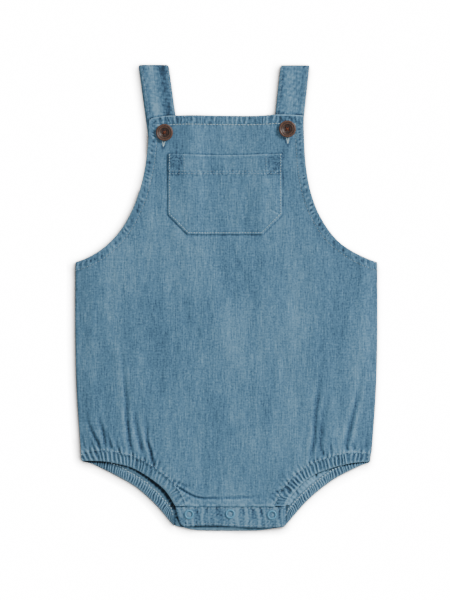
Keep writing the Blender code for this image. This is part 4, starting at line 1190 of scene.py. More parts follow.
def armhole_hem(side, free, seam, length, lean, seed):
    """The turned hem of one of the front's armholes, roped by its stitching."""

    def ropes(t, u):
        return gather_waves(t * length - lean * 0.0022 * (u - 0.5), ROPE_PITCH, seed, 0.50, 1.2)

    def high(xy, t, u):
        return hem_top(xy, u, ropes(t, u) - 0.5)

    def tone(xy, t, u):
        middle = 0.52 + 0.07 * ripples(xy, 0.015, seed + 2)
        band = falloff(u - middle, 0.19) * np.clip(0.8 + 0.4 * ripples(xy, 0.006, seed + 3), 0.1, 1.5)
        edge = 0.14 * (1 - smoothstep(0.0, 0.14, u)) + 0.05 * smoothstep(0.80, 0.92, u)
        return 1.05 * (ropes(t, u) - 0.46) * band + edge - 0.24 * smoothstep(0.93, 1.0, u)

    across = edge_samples(0.05, 12)
    piece = sewn_strip(f"armhole_hem_{side}", free, seam, across, hem_underside, high, tone, [face_denim()])
    return finish_piece(piece, "denim", f"front_armhole_hem_{side}")


def make_armhole_hems():
    """The turned hems of the front's armholes, which start a little way under the bib's hem."""
    free = armhole_edge(240)
    seam = inward(free, ARMHOLE_HEM_WIDTH, None, (0.0, -1.0))
    tuck = (0.0, 0.0009)
    free, seam = np.vstack((free[:1] + tuck, free)), np.vstack((seam[:1] + tuck, seam))
    length = path_run(free)[-1]
    return [
        armhole_hem("left", free, seam, length, 1.0, 31),
        armhole_hem("right", mirrored(free), mirrored(seam), length, -1.0, 35),
    ]


def pocket_pulls(xy):
    """Upright marks that the pocket's hem stitches pull: 1 on a ridge, 0 in a trough."""
    return gather_waves(xy[:, 0] + 0.001 * ripples(xy, 0.01, 51), POCKET_PULL_PITCH, 52)


def pocket_top(xy):
    """Height of the pocket's outer face."""
    from_rim = rim_distance(xy, pocket_outline())
    in_hem = smoothstep(POCKET_TOP - POCKET_HEM - 0.0003, POCKET_TOP - POCKET_HEM + 0.0003, xy[:, 1])
    thick = 0.0010 + 0.0004 * in_hem
    body = front_lie(xy) + WALL + front_puff(xy) + 0.0002
    belly = 0.0005 * smoothstep(0.002, 0.020, from_rim)
    channel = -0.00022 * falloff(from_rim - 0.0016, 0.0007)
    edge = thick * rolled_rim(from_rim, 0.0012, 0.45)
    pulled = 0.00018 * (pocket_pulls(xy) - 0.4)
    at_hem_line = falloff(xy[:, 1] - (POCKET_TOP - 0.0165), 0.0040)
    return body + edge + belly + channel + pulled * (0.35 + 1.2 * at_hem_line)


def pocket_tone(xy):
    """The pocket's paler edges, its tacked hem ends, the marks that its hem stitches pull, and a painted highlight
    and shade at a small pull.
    """
    from_rim = rim_distance(xy, pocket_outline())
    marks = pocket_pulls(xy) - 0.34
    at_hem_line = falloff(xy[:, 1] - (POCKET_TOP - 0.0168), 0.0030)
    dip = POCKET_TOP_DIP * (1 - (2 * xy[:, 0] / (POCKET_RIGHT - POCKET_LEFT)) ** 2)
    mouth = 0.34 * (1 - smoothstep(0.0, 0.0014, POCKET_TOP - dip - xy[:, 1]))
    rim = 0.10 * (1 - smoothstep(0.0, 0.0012, from_rim)) - 0.12 * falloff(from_rim - 0.0028, 0.0009)
    to_side = np.minimum(xy[:, 0] - POCKET_LEFT, POCKET_RIGHT - xy[:, 0])
    high_up = smoothstep(POCKET_TOP - 0.0200, POCKET_TOP - 0.0190, xy[:, 1])
    tack = high_up * (1 - smoothstep(POCKET_TACK_WIDTH - 0.0003, POCKET_TACK_WIDTH + 0.0007, to_side))
    zigzag = 0.22 * np.sin(xy[:, 1] * 2 * math.pi / TACK_PITCH + 3.0 * ripples(xy, 0.006, 57))
    # A painted highlight along the pull, and painted shade beside it
    pull = 0.30 * stroke(xy, POCKET_PULL, 0.0007)
    pull -= 0.30 * stroke(xy, np.add(POCKET_PULL, 0.0011), 0.0008)
    return 0.70 * marks * at_hem_line + mouth + rim + tack * (zigzag - 0.16) + pull


def make_pocket():
    """The patch pocket on the bib, with its turned hem."""
    outline = pocket_outline()
    points = scattered(outline, POCKET_SPACING)

    def low(xy):
        return front_top(xy) + LAYER_GAP

    def high(xy):
        return np.maximum(pocket_top(xy), front_top(xy) + 0.0003)

    piece = cloth_shell("pocket", outline, points, low, high, pocket_tone, [face_denim()])
    return finish_piece(piece, "denim", "chest_pocket")


def casing_piece(name, node, rails, side, ruche, rest, depth, marks, shades, fullness, meets=None):
    """An elastic casing, gathered into uneven ruches.

    marks is how much paler a ruche is than a trough, fullness(t) scales that and its depth along the casing, and
    shades(xy, t, u) is added to its tone. meets(xy) is the height of the panel at its seam.
    """
    free, _, seam = rails
    pitch, seed, lean = ruche
    length = path_run(free)[-1]

    def ruches(t, u):
        return ruche_waves(t, u, side, pitch, seed, lean)

    def thickness(t):
        return CASING_THICKNESS * (1 - CASING_THINNING_AT_SIDE * (1 - away_from_side(t, side)))

    def high(xy, t, u):
        full = thickness(t)
        dome = 0.28 + 0.72 * rounded(u, 0.34)
        ruched = depth * fullness(t) * (ruches(t, u) - 0.45) * rounded(u, 0.25)
        height = rest(xy) + full * dome + full / CASING_THICKNESS * ruched
        if meets is not None:
            height += (meets(xy) + 0.0002 - height) * smoothstep(0.72, 0.98, u)
        return height

    def low(xy, t, u):
        return rest(xy) + 0.0001 * u

    def tone(xy, t, u):
        return marks * fullness(t) * (ruches(t, u) - 0.29) + shades(xy, t, u)

    def cloth(xy, t, u):
        return np.column_stack((t * length * 1.7, u * 0.012, np.full(len(t), 0.01 * seed)))

    scallop = 0.00028 * (ruches(np.linspace(0, 1, len(free)), np.zeros(len(free))) - 0.45)
    free = inward(free, -scallop * np.sin(np.linspace(0.0, math.pi, len(free))))
    piece = sewn_strip(name, free, seam, edge_samples(0.06, 16), low, high, tone, [face_denim()], cloth)
    return finish_piece(piece, "denim", node)


def make_front_casings():
    """The elastic leg casings of the front."""
    depth = bpy.context.scene.overalls.ruche_depth

    def lip(u):
        return 1 - smoothstep(0.02, 0.34, u)

    def left_shades(xy, t, u):
        shade = 0.06 + 0.14 * smoothstep(0.55, 0.95, t) - 0.30 * smoothstep(0.86, 0.95, u)
        return shade + (0.50 + 0.25 * smoothstep(0.60, 0.90, t)) * lip(u)

    def right_shades(xy, t, u):
        shade = -0.08 - 0.30 * smoothstep(0.86, 0.95, u)
        return shade + (0.62 + 0.50 * (1 - smoothstep(0.15, 0.42, t))) * lip(u)

    def left_fullness(t):
        return 1 - 0.45 * smoothstep(0.52, 0.66, t)

    def right_fullness(t):
        return 0.86 - 0.40 * (1 - smoothstep(0.02, 0.16, t))

    return [
        casing_piece(
            f"front_casing_{side}", f"front_leg_casing_{side}", FRONT_CASINGS[side], side, FRONT_RUCHES[side],
            front_casing_underside, depth, 1.25, left_shades if side == "left" else right_shades,
            left_fullness if side == "left" else right_fullness, front_top,
        )
        for side in FRONT_CASINGS
    ]


def make_back_casings():
    """The elastic leg casings of the back, which lie on the surface."""
    depth = 0.5 * bpy.context.scene.overalls.ruche_depth
    pieces = []
    for side in BACK_CASINGS:

        def shades(xy, t, u, side=side):
            lip = 1 - smoothstep(0.04, 0.30, u)
            # Painted shade under the front's casings
            shade = 0.62 * smoothstep(0.66, 0.78, u) - 1.3 * painted_shade_under_front(xy)
            if side == "left":
                return shade + 0.02 + (0.30 + 0.45 * smoothstep(0.25, 0.45, t)) * lip
            # Painted light towards the side seam, where the front's casing would shade this one
            return shade + 0.15 + 0.16 * smoothstep(0.60, 0.90, t) + 0.32 * lip

        pieces.append(casing_piece(
            f"back_casing_{side}", f"back_leg_casing_{side}", BACK_CASINGS[side], side, BACK_RUCHES[side],
            lambda xy: np.zeros(len(xy)), depth, 2.10, shades, np.ones_like,
        ))
    return pieces


def back_gathers(xy):
    """Pleats of the back above its casings: 1 on a ridge, 0 in a trough, and how strong they are there."""
    ridge, near = np.zeros(len(xy)), np.zeros(len(xy))
    for seed, seam in ((81, BACK_SEAMS["left"]), (83, BACK_SEAMS["right"])):
        distance, share = nearest_on_path(xy, seam)
        run = share * path_run(seam)[-1]
        strength = 1 - smoothstep(0.004, 0.020, distance)
        ridge = np.where(strength > near, gather_waves(run, BACK_GATHER_PITCH, seed), ridge)
        near = np.maximum(near, strength)
    return ridge, near


def painted_shade_under_front(xy):
    """Painted shade: 1 where the back lies hidden under the front's leg casings, falling to 0 just outside them.
    """
    found = np.zeros(len(xy))
    for side, (free, _, _) in FRONT_CASINGS.items():
        distance, share = nearest_on_path(xy, free[::6])
        under = xy[:, 1] > np.interp(xy[:, 0], free[:, 0], free[:, 1])
        least, added, along = UNDER_FRONT_SHADE_REACH[side]
        reach = least + added * smoothstep(*along, share)
        signed = np.where(under, -distance, distance)
        beside = (xy[:, 0] < 0) == (side == "left")
        found = np.maximum(found, np.where(beside, 1 - smoothstep(0.65 * reach, 1.15 * reach, signed), 0.0))
    return found


def make_back():
    """The back, seen from its wrong side in the leg openings."""
    seam = inward(armhole_edge(), ARMHOLE_HEM_WIDTH + SEAM_GAP, None, (0.0, -1.0))
    top_y = BACK_TOP - ARMHOLE_HEM_WIDTH
    arm = seam[seam[:, 1] < top_y]
    edge = SIDE_EDGE + (SEAM_GAP, 0.0)
    edge = edge[(edge[:, 1] < arm[-1, 1] - 0.001) & (edge[:, 1] > SIDE_SEAM_END)]
    crotch = PLACKET_SEAM + SEAM_GAP
    left, right = (inward(BACK_CASINGS[side][2], -UNDER_CASING) for side in ("left", "right"))
    left, right = left[left[:, 1] > crotch], right[right[:, 1] > crotch]
    outline = np.vstack((arm, edge, left, right, mirrored(edge), mirrored(arm), arm[:1]))
    outline = by_step(outline, RIM_STEP)[:-1]

    def near_legs(xy):
        return np.minimum(*(nearest_on_path(xy, line)[0] for line in BACK_SEAMS.values())) < GATHER_ZONE

    fine = scattered(outline, BACK_GATHER_SPACING, near_legs)
    coarse = scattered(outline, BACK_SPACING, lambda xy: ~near_legs(xy))

    def low(xy):
        inner = smoothstep(0.002, 0.010, rim_distance(xy, outline))
        ridge, near = back_gathers(xy)
        dents = 0.00012 * (1 + np.clip(ripples(xy, 0.030, 91), -1, 1)) * inner
        return dents + 0.00035 * ridge * near * inner

    def high(xy):
        ridge, near = back_gathers(xy)
        return low(xy) + PANEL_SHELL + 0.0004 * ridge * near

    def tone(xy):
        ridge, near = back_gathers(xy)
        at_seam = np.min([nearest_on_path(xy, line)[0] for line in BACK_SEAMS.values()], axis=0)
        band = 0.35 + 0.70 * falloff(xy[:, 0] + 0.0800, 0.0220)
        shade = (1.35 * (ridge - 0.28) + 0.24) * near + band * falloff(at_seam, 0.0024)
        # Painted shade under the front's leg casings
        shade -= 1.9 * painted_shade_under_front(xy)
        # Painted shade in the folds
        for x, y, slant in BACK_FOLD_SHADES:
            fold = ((x - slant, y + 0.0022), (x, y), (x - 0.3 * slant, y - 0.0020))
            shade -= 1.7 * stroke(xy, fold, 0.0008)
        return shade

    points = np.vstack((fine, coarse))
    finishes = [inside_denim(), face_denim()]
    piece = cloth_shell("back", outline, points, low, high, tone, finishes, under=True)
    return finish_piece(piece, "denim", "back_panel")


def back_hem(name, node, free, seam, pitch, seed):
    """A turned hem of the back, with faint puckers."""

    def puckers(t):
        return gather_waves(t * 0.11, pitch, seed) - 0.5

    def low(xy, t, u):
        return np.zeros(len(xy))

    def high(xy, t, u):
        return 0.00035 + 0.00085 * rounded(u, 0.15) + 0.00015 * puckers(t) * rounded(u, 0.3)

    def tone(xy, t, u):
        return 0.25 * puckers(t)

    piece = sewn_strip(name, free, seam, edge_samples(0.06, 8), low, high, tone, [inside_denim()])
    return finish_piece(piece, "denim", node)


def make_back_hems():
    """The turned hems of the back's armholes and top."""
    free = inward(armhole_edge(220), SEAM_GAP, None, (0.0, -1.0))
    seam = inward(free, ARMHOLE_HEM_WIDTH - SEAM_GAP, None, (0.0, -1.0))
    kept = np.maximum(free[:, 1], seam[:, 1]) < BACK_TOP
    free, seam = free[kept], seam[kept]
    half = abs(np.interp(-BACK_TOP, -seam[:, 1], seam[:, 0])) - SEAM_GAP
    x = np.linspace(half - drawn_in(BACK_TOP - ARMHOLE_HEM_WIDTH), -half, 160)
    top = np.column_stack((x, np.full_like(x, BACK_TOP)))
    foot = np.column_stack((x, np.full_like(x, BACK_TOP - ARMHOLE_HEM_WIDTH)))
    return [
        back_hem("back_armhole_turn_left", "back_armhole_hem_left", free, seam, 0.006, 101),
        back_hem("back_armhole_turn_right", "back_armhole_hem_right", mirrored(free), mirrored(seam), 0.006, 103),
        back_hem("back_top_turn", "back_top_hem", top, foot, 0.005, 105),
    ]


def front_placket_outline():
    """The front placket's edge."""
    left, right = FRONT_CASINGS["left"][0][-1], FRONT_CASINGS["right"][0][0]
    top = by_step(((right[0], PLACKET_SEAM), (left[0], PLACKET_SEAM)), RIM_STEP)
    outline = np.vstack((top, smooth_curve(FRONT_PLACKET_BOTTOM, 110), top[:1]))
    return by_step(outline, RIM_STEP)[:-1]


def placket_waves(xy):
    """Soft upright waves of the front placket: 1 on a ridge, 0 in a trough."""
    bent = xy[:, 0] + 0.10 * (xy[:, 1] - PLACKET_SEAM) + 0.0009 * ripples(xy, 0.012, 112, (1.0, 2.0))
    return gather_waves(bent, PLACKET_WAVE_PITCH, 111, 0.5)


def from_nearest_stud(xy):
    """How far each place is from the middle of the nearest press stud."""
    return np.min([np.hypot(xy[:, 0] - x, xy[:, 1] - y) for _, x, y in STUDS], axis=0)


def placket_top(xy):
    """Height of the front placket's outer face: soft waves, pressed flat under the studs."""
    from_rim = rim_distance(xy, front_placket_outline())
    waves = placket_waves(xy)
    from_stud = from_nearest_stud(xy)
    free = smoothstep(STUD_RADIUS, 2.0 * STUD_RADIUS, from_stud)
    dome = 0.00045 * (1 - smoothstep(0.0, STUD_RADIUS - 0.0008, from_stud))
    edge = rolled_rim(from_rim, PLACKET_ROLL, 0.4)
    groove = -0.0002 * falloff(from_rim - 0.0018, 0.0008)
    return FRONT_PLACKET_REST + PLACKET_THICKNESS * edge + 0.00038 * (waves - 0.45) * free + dome + groove


def make_front_placket():
    """The front crotch placket."""
    outline = front_placket_outline()

    def low(xy):
        return np.full(len(xy), FRONT_PLACKET_REST)

    def tone(xy):
        waves = placket_waves(xy)
        from_stud = from_nearest_stud(xy)
        slanted = xy[:, 0] + 0.4 * (xy[:, 1] - PLACKET_SEAM) + 0.001 * ripples(xy, 0.008, 113)
        fine = gather_waves(slanted, PLACKET_FINE_PITCH, 114)
        below_seam = (PLACKET_SEAM - xy[:, 1]) / MM
        creases = 0.78 * (waves - 0.36) + 0.56 * (fine - 0.30) * np.exp(-below_seam / 5.0)
        creases += 0.14 * ripples(xy, 0.0036, 115, (1.0, 0.6))
        seam_line = 0.14 * (1 - smoothstep(0.0, 0.6, below_seam))
        shade = creases * smoothstep(STUD_RADIUS, 0.007, from_stud) - seam_line + 0.22
        # A painted highlight on the cloth in the middle of each stud
        for (_, x, y), pale in zip(STUDS, STUD_MIDDLE_HIGHLIGHTS):
            shade += pale * (1 - smoothstep(0.0, 0.0024, np.hypot(xy[:, 0] - x, xy[:, 1] - y)))
        # Painted shade in the pleats
        for pleat in PLACKET_PLEAT_SHADES:
            shade -= 0.50 * stroke(xy, pleat, 0.0009)
        return shade

    points = scattered(outline, PLACKET_SPACING)
    piece = cloth_shell("front_placket_cloth", outline, points, low, placket_top, tone, [placket_denim()])
    return finish_piece(piece, "denim_placket", "front_placket")


def make_back_placket():
    """The back crotch placket, which lies on the surface under the front one."""
    left = BACK_CASINGS["left"][2] - (0.0020, 0.0)
    right = BACK_CASINGS["right"][2] + (0.0020, 0.0)
    left, right = left[left[:, 1] < PLACKET_SEAM], right[right[:, 1] < PLACKET_SEAM]
    outline = np.vstack((left, smooth_curve(BACK_PLACKET_BOTTOM, 110), right, left[:1]))
    outline = by_step(outline, RIM_STEP)[:-1]
    front_edge = smooth_curve(FRONT_PLACKET_BOTTOM, 60)

    def waves(xy):
        return gather_waves(xy[:, 0], BACK_PLACKET_PITCH, 121, 0.4) - 0.45

    def low(xy):
        return np.zeros(len(xy))

    def high(xy):
        from_rim = rim_distance(xy, outline)
        edge = rolled_rim(from_rim, PLACKET_ROLL, 0.4)
        return 0.0015 * edge + 0.0003 * waves(xy) * smoothstep(0.0, 0.003, from_rim)

    def tone(xy):
        from_edge = nearest_on_path(xy, front_edge)[0]
        # Painted shadow along the front placket's edge, painted light beyond it where the front placket would
        # shade this one
        lit = smoothstep(0.0008, 0.0016, from_edge) * (xy[:, 1] < -0.1900)
        shade = 0.25 * waves(xy) + 1.60 * lit - 1.10
        # Painted shadow in the gaps
        for gap in BACK_PLACKET_GAP_SHADOWS:
            shade -= 1.7 * stroke(xy, gap, 0.0007)
        return shade

    points = scattered(outline, 2 * PLACKET_SPACING)
    piece = cloth_shell("back_placket_cloth", outline, points, low, high, tone, [inside_denim()])
    return finish_piece(piece, "denim_placket", "back_placket")


def make_studs():
    """Press studs: a rounded ring on the front of the placket. The studs between the plackets keep their shape."""
    pieces = []
    for name, x, y in STUDS:
        points = []
        for k in range(STUD_SIDES):
            turn = 2 * math.pi * k / STUD_SIDES
            for j in range(STUD_TUBE_SIDES):
                bend = 2 * math.pi * j / STUD_TUBE_SIDES
                radius = STUD_RADIUS - STUD_TUBE + STUD_TUBE * math.cos(bend)
                rise = STUD_HALF_HEIGHT * (1 + math.sin(bend))
                z = FRONT_PLACKET_REST + PLACKET_THICKNESS + STUD_LIFT + rise
                points.append((x + radius * math.cos(turn), y + radius * math.sin(turn), z))
        faces = ringed_faces(STUD_SIDES, STUD_TUBE_SIDES, closed=True)
        ring = add_mesh(f"stud_ring_{name}", points, faces, [enamel_material()])
        pieces.append(finish_piece(face_outwards(ring), "stud_enamel", f"press_stud_ring_{name}"))
        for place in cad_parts[f"press_stud_socket_{name}"].material_slots:
            place.material = enamel_material()
    return pieces


def strap_centre(side, steps=9):
    """Centre line of a strap as rows of x, y, z and tilt, from behind the bib over the fold to inside the back."""
    top, at_bib, shift = STRAPS[side]
    slant = (at_bib[0] - top[0]) / (at_bib[1] - top[1])
    low, high = WALL / 2, 1.5 * WALL + STRAP_LOFT
    radius = (high - low) / 2
    turn_y = top[1] - radius - WALL / 2
    seat = BACK_TOP + STRAP_RAMP
    lift = WALL + SEAM_GAP
    rows = []
    for y in np.linspace(STRAP_FRONT_END, turn_y, 90)[:-1]:
        rows.append((top[0] + slant * (y - top[1]), y, high, 0.0))
    for tilt in np.linspace(0.0, math.pi, 2 * steps)[:-1]:
        y = turn_y + radius * math.sin(tilt)
        rows.append((top[0] + shift * tilt / math.pi, y, low + radius + radius * math.cos(tilt), tilt))
    for y in np.linspace(turn_y, BACK_TOP - STRAP_LAP, 110):
        rise = lift * (1 - float(smoothstep(seat - 0.8 * STRAP_RAMP, seat, y)))
        rows.append((top[0] + slant * (y - top[1]) + shift, y, low + rise, math.pi))
    return rows


def strap_shade(side, u, x, y, width, at, amount_here, outer, bib_top):
    """Tone of a strap at the share u across it: worn edges, bands, mottling and the bib's shadow."""
    shade = amount_here * sum(
        amount * math.exp(-((u - place) / spread) ** 2) for amount, place, spread in STRAP_SHADES[side]
    )
    mottled = ripples(np.array(((u * width, at),)), 0.0030, 48, (1.0, 1.5))[0]
    shade += 0.12 * mottled
    above_bib = y - np.interp(x + u * width, bib_top[:, 0], bib_top[:, 1]) - 0.0004
    shade -= 0.55 * outer * math.exp(-(above_bib / 0.0011) ** 2)
    return float(0.10 * smoothstep(0.455, 0.49, abs(u))) + shade


def make_straps():
    """Two straps, each a ribbon of doubled cloth folded over at the shoulder, stitched along both edges."""
    pieces = []
    across = np.concatenate(([-0.5], np.linspace(-0.485, 0.485, 22), [0.5]))
    bib_top = smooth_curve(BIB_TOP, 120)
    for side, patch_seed, cloth_from in (("left", 45, 0.31), ("right", 47, 0.47)):
        rows = strap_centre(side)
        run = path_run(np.array([row[:3] for row in rows]))
        patchy = 0.85 + 0.25 * ripples(np.column_stack((run, np.zeros(len(run)))), 0.012, patch_seed)
        fold_y = STRAPS[side][0][1]
        points, tone, cloth = [], [], []
        for (x, y, z, tilt), at, amount_here in zip(rows, run, patchy):
            width = STRAP_WIDTH * (1 - 0.035 * float(smoothstep(fold_y - 0.0022, fold_y, y)) ** 2)
            for face, order in ((1, across), (-1, across[1:-1][::-1])):
                for u in order:
                    edge = rounded(np.array(u + 0.5), 0.05)
                    groove = 0.00016 * math.exp(-((0.5 - abs(u) - 0.075) / 0.03) ** 2)
                    full = STRAP_HALF_WALL * (0.2 + 0.8 * float(edge)) - groove
                    up = face * full if abs(u) < 0.5 else 0.0
                    points.append((x + u * width, y + up * math.sin(tilt), z + up * math.cos(tilt)))
                    tone.append(strap_shade(side, u, x, y, width, at, amount_here, face > 0, bib_top))
                    cloth.append((u * STRAP_WIDTH + cloth_from, at, 0.0))
        faces = ringed_faces(len(rows), 2 * len(across) - 2)
        piece = add_mesh(f"shoulder_strap_{side}", points, faces, [face_denim()], tone, cloth)
        pieces.append(finish_piece(face_outwards(piece), "denim", f"strap_{side}"))
    return pieces


def turned_button(name, x, y):
    """A button turned from its half profile, without its holes."""
    points = [(x, y, BUTTON_REST + BUTTON_PROFILE[0][1] * MM)]
    tone = [0.0]
    for radius, height, shade in BUTTON_PROFILE[1:-1]:
        for k in range(BUTTON_SIDES):
            turn = 2 * math.pi * k / BUTTON_SIDES
            across, up = radius * MM * math.cos(turn), radius * MM * math.sin(turn)
            points.append((x + across, y + up, BUTTON_REST + height * MM))
            tone.append(shade)
    points.append((x, y, BUTTON_REST + BUTTON_PROFILE[-1][1] * MM))
    tone.append(BUTTON_PROFILE[-1][2])
    faces = []
    for ring in range(len(BUTTON_PROFILE) - 3):
        low, high = 1 + ring * BUTTON_SIDES, 1 + (ring + 1) * BUTTON_SIDES
        for k in range(BUTTON_SIDES):
            step = (k + 1) % BUTTON_SIDES
            faces.append((high + k, low + k, low + step, high + step))
    last = len(points) - 1 - BUTTON_SIDES
    faces += [(0, 1 + (k + 1) % BUTTON_SIDES, 1 + k) for k in range(BUTTON_SIDES)]
    faces += [(len(points) - 1, last + k, last + (k + 1) % BUTTON_SIDES) for k in range(BUTTON_SIDES)]
    return face_outwards(add_mesh(name, points, faces, [coconut_material()], tone))


def drill_button(button, x, y):
    """Cuts the holes through a button."""
    drills = []
    for k in range(BUTTON_HOLES):
        turn = math.pi * (k + 0.5) / 2
        place = (x + HOLE_FROM_CENTRE * math.cos(turn), y + HOLE_FROM_CENTRE * math.sin(turn), BUTTON_REST)
        bpy.ops.mesh.primitive_cylinder_add(vertices=20, radius=HOLE_RADIUS, depth=0.008, location=place)
        drill = bpy.context.object
        cut = button.modifiers.new(f"hole_{k}", "BOOLEAN")
        cut.object, cut.operation, cut.solver = drill, "DIFFERENCE", "EXACT"
        drills.append(drill)
    graph = bpy.context.evaluated_depsgraph_get()
    made = bpy.data.meshes.new_from_object(button.evaluated_get(graph))
    button.modifiers.clear()
    button.data = made
    for drill in drills:
        bpy.data.objects.remove(drill, do_unlink=True)


def button_thread_lines(x, y):
    """Crossed pairs of threads that rise out of the holes towards the button's middle."""
    lines = []
    height = BUTTON_REST + 0.0012
    for k in range(BUTTON_HOLES):
        first, second = (math.pi * (k + half) / 2 for half in (0.5, 2.5))
        a, b = (
            np.array((x + HOLE_FROM_CENTRE * math.cos(turn), y + HOLE_FROM_CENTRE * math.sin(turn), height))
            for turn in (first, second)
        )
        for shift in (-0.00022, 0.00022):
            offset = np.array((-math.sin(first), math.cos(first), 0.0)) * shift
            s = np.linspace(0.0, 0.5, 7)[:, None]
            rise = np.array((0.0, 0.0, 1.0)) * (0.0011 * np.sin(math.pi * s) ** 0.6 + 0.0001 * (k % 2))
            lines.append(a + (b - a) * s + offset + rise)
    return lines


def make_buttons():
    """Four-hole coconut buttons with a raised rim, a grooved ring and a dished centre, and their sewing."""
    pieces = []
    for side, (x, y) in BUTTONS.items():
        button = turned_button(f"coconut_button_{side}", x, y)
        drill_button(button, x, y)
        pieces.append(finish_piece(button, "coconut", f"button_{side}"))
        thread = thread_material("button_thread", bpy.context.scene.overalls.button_thread)
        lines = button_thread_lines(x, y)
        sewn = stitched(f"button_sewing_{side}", lines, thread, 0.0009, 0.0004, 0.00042, seed=9)
        pieces.append(finish_piece(sewn, None))
    return pieces


def stitch_front_hems(thread, bright):
    """Stitching along the bib's hem and both armholes."""
    curve = smooth_curve(BIB_TOP, 200)
    x = np.linspace(-0.0610, 0.0612, 140)
    line = np.column_stack((x, np.interp(x, curve[:, 0], curve[:, 1]) - 0.0082))
    bib = [on_surface(line, front_top, 0.00042)]
    arm = inward(armhole_edge(), ARMHOLE_HEM_WIDTH - 0.0003, None, (0.0, -1.0))
    arms = [on_surface(edge, front_top, 0.00030) for edge in (arm, mirrored(arm))]
    return [
        stitched("bib_stitching", bib, bright, 0.0025, 0.0028, 0.00055, seed=11),
        stitched("armhole_stitching", arms, thread, thickness=0.00034, seed=13),
    ]


def stitch_pocket(thread, bright):
    """Stitching round the pocket, two lines along its hem and a tack at each end of that."""
    inset = 0.0015
    foot = POCKET_BOTTOM + inset
    slant = POCKET_CHAMFER - inset * (math.sqrt(2) - 1)
    left, right = POCKET_LEFT + inset, POCKET_RIGHT - inset
    edge = ((left, POCKET_TOP - 0.0010), (left, foot + slant), (left + slant, foot), (right - slant, foot),
            (right, foot + slant), (right, POCKET_TOP - 0.0010))
    hem = POCKET_TOP - 0.0155
    lines = [
        edge,
        ((left, hem), (right, hem)),
        ((left, hem - 0.0024), (right, hem - 0.0024)),
        ((left + POCKET_TACK_WIDTH, hem), (left + POCKET_TACK_WIDTH, POCKET_TOP - 0.0015)),
        ((right - POCKET_TACK_WIDTH, hem), (right - POCKET_TACK_WIDTH, POCKET_TOP - 0.0015)),
    ]
    laid = [on_surface(line, pocket_top, 0.00012) for line in lines]
    return [
        stitched("pocket_stitching", laid[:1], bright, 0.0017, 0.0024, 0.00048, seed=15),
        stitched("pocket_hem_stitching", laid[1:], thread, thickness=0.00030, seed=17),
    ]


def unsteady(line, amount, wavelength, seed):
    """A line of stitches that strays a little up and down."""
    return line + amount * np.column_stack((np.zeros(len(line)), ripples(line, wavelength, seed)))


def stitch_front_casings(thread):
    """Stitching where the front is sewn to its leg casings."""
    seams = []
    for _, _, panel in FRONT_CASINGS.values():
        line = unsteady(inward(panel, 0.0009)[4:-6], 0.0002, 0.006, 131)
        seams.append(on_surface(line, front_top, 0.00022))
    return [stitched("casing_stitching", seams, thread, 0.0014, 0.0029, 0.00040, seed=19)]


def stitch_straps(thread):
    """Stitching along both edges of each strap."""
    pieces = []
    up = 0.00048
    for side in STRAPS:
        rows = strap_centre(side)
        lines = [
            np.array([
                (x + u * STRAP_WIDTH, y + up * math.sin(tilt), z + up * math.cos(tilt)) for x, y, z, tilt in rows
            ])
            for u in (-0.425, 0.425)
        ]
        pieces.append(stitched(f"strap_stitching_{side}", lines, thread, thickness=0.00024, seed=23))
    return pieces


def stitch_placket(thread):
    """Stitching along the front placket's top and lower edges."""
    top = ((-0.0440, PLACKET_SEAM - 0.0016), (0.0510, PLACKET_SEAM - 0.0016))
    bottom = inward(smooth_curve(FRONT_PLACKET_BOTTOM, 110), 0.0017)[14:-3]
    laid = [on_surface(line, placket_top, 0.00012) for line in (top, bottom)]
    return [stitched("placket_stitching", laid, thread, thickness=0.00034, seed=25)]


def stitch_back_casings(lilac):
    """Stitching over the elastic of the back's leg casings."""
    lines = []
    for (free, _, panel), place in zip(BACK_CASINGS.values(), (0.95, 0.84)):
        line = free + place * (panel - free)
        line = unsteady(line[line[:, 1] > PLACKET_SEAM - 0.008], 0.00030, 0.009, 141)
        lines.append(np.column_stack((line, np.full(len(line), 0.0027))))
    return [stitched("elastic_stitching", lines, lilac, 0.0020, 0.0028, 0.0011, seed=27)]


def stitch_buttonholes(white):
    """Close stitches across both sides of each buttonhole."""
    slits = []
    for side, foot in BUTTONHOLE_FOOT.items():
        x, y = BUTTONS[side]
        slits += [on_surface(((x + shift, y), foot), front_top, 0.00010) for shift in (-0.0030, 0.0030)]
    name = "buttonhole_stitching"
    return [stitched(name, slits, white, 0.0012, 0.00042, 0.00042, turn=math.pi / 2, seed=29)]


def make_stitching():
    """All the topstitching."""
    settings = bpy.context.scene.overalls
    thread = thread_material("topstitch_thread", settings.thread_colour)
    bright = thread_material("bright_thread", tuple(1.35 * value for value in settings.thread_colour))
    white = thread_material("buttonhole_thread", tuple(1.4 * value for value in settings.thread_colour))
    lilac = thread_material("elastic_thread", settings.inside_thread_colour)
    pieces = [
        *stitch_front_hems(thread, bright), *stitch_pocket(thread, bright), *stitch_front_casings(thread),
        *stitch_straps(thread), *stitch_placket(thread), *stitch_back_casings(lilac), *stitch_buttonholes(white),
    ]
    for piece in pieces:
        finish_piece(piece, None)
    return pieces


# Stage


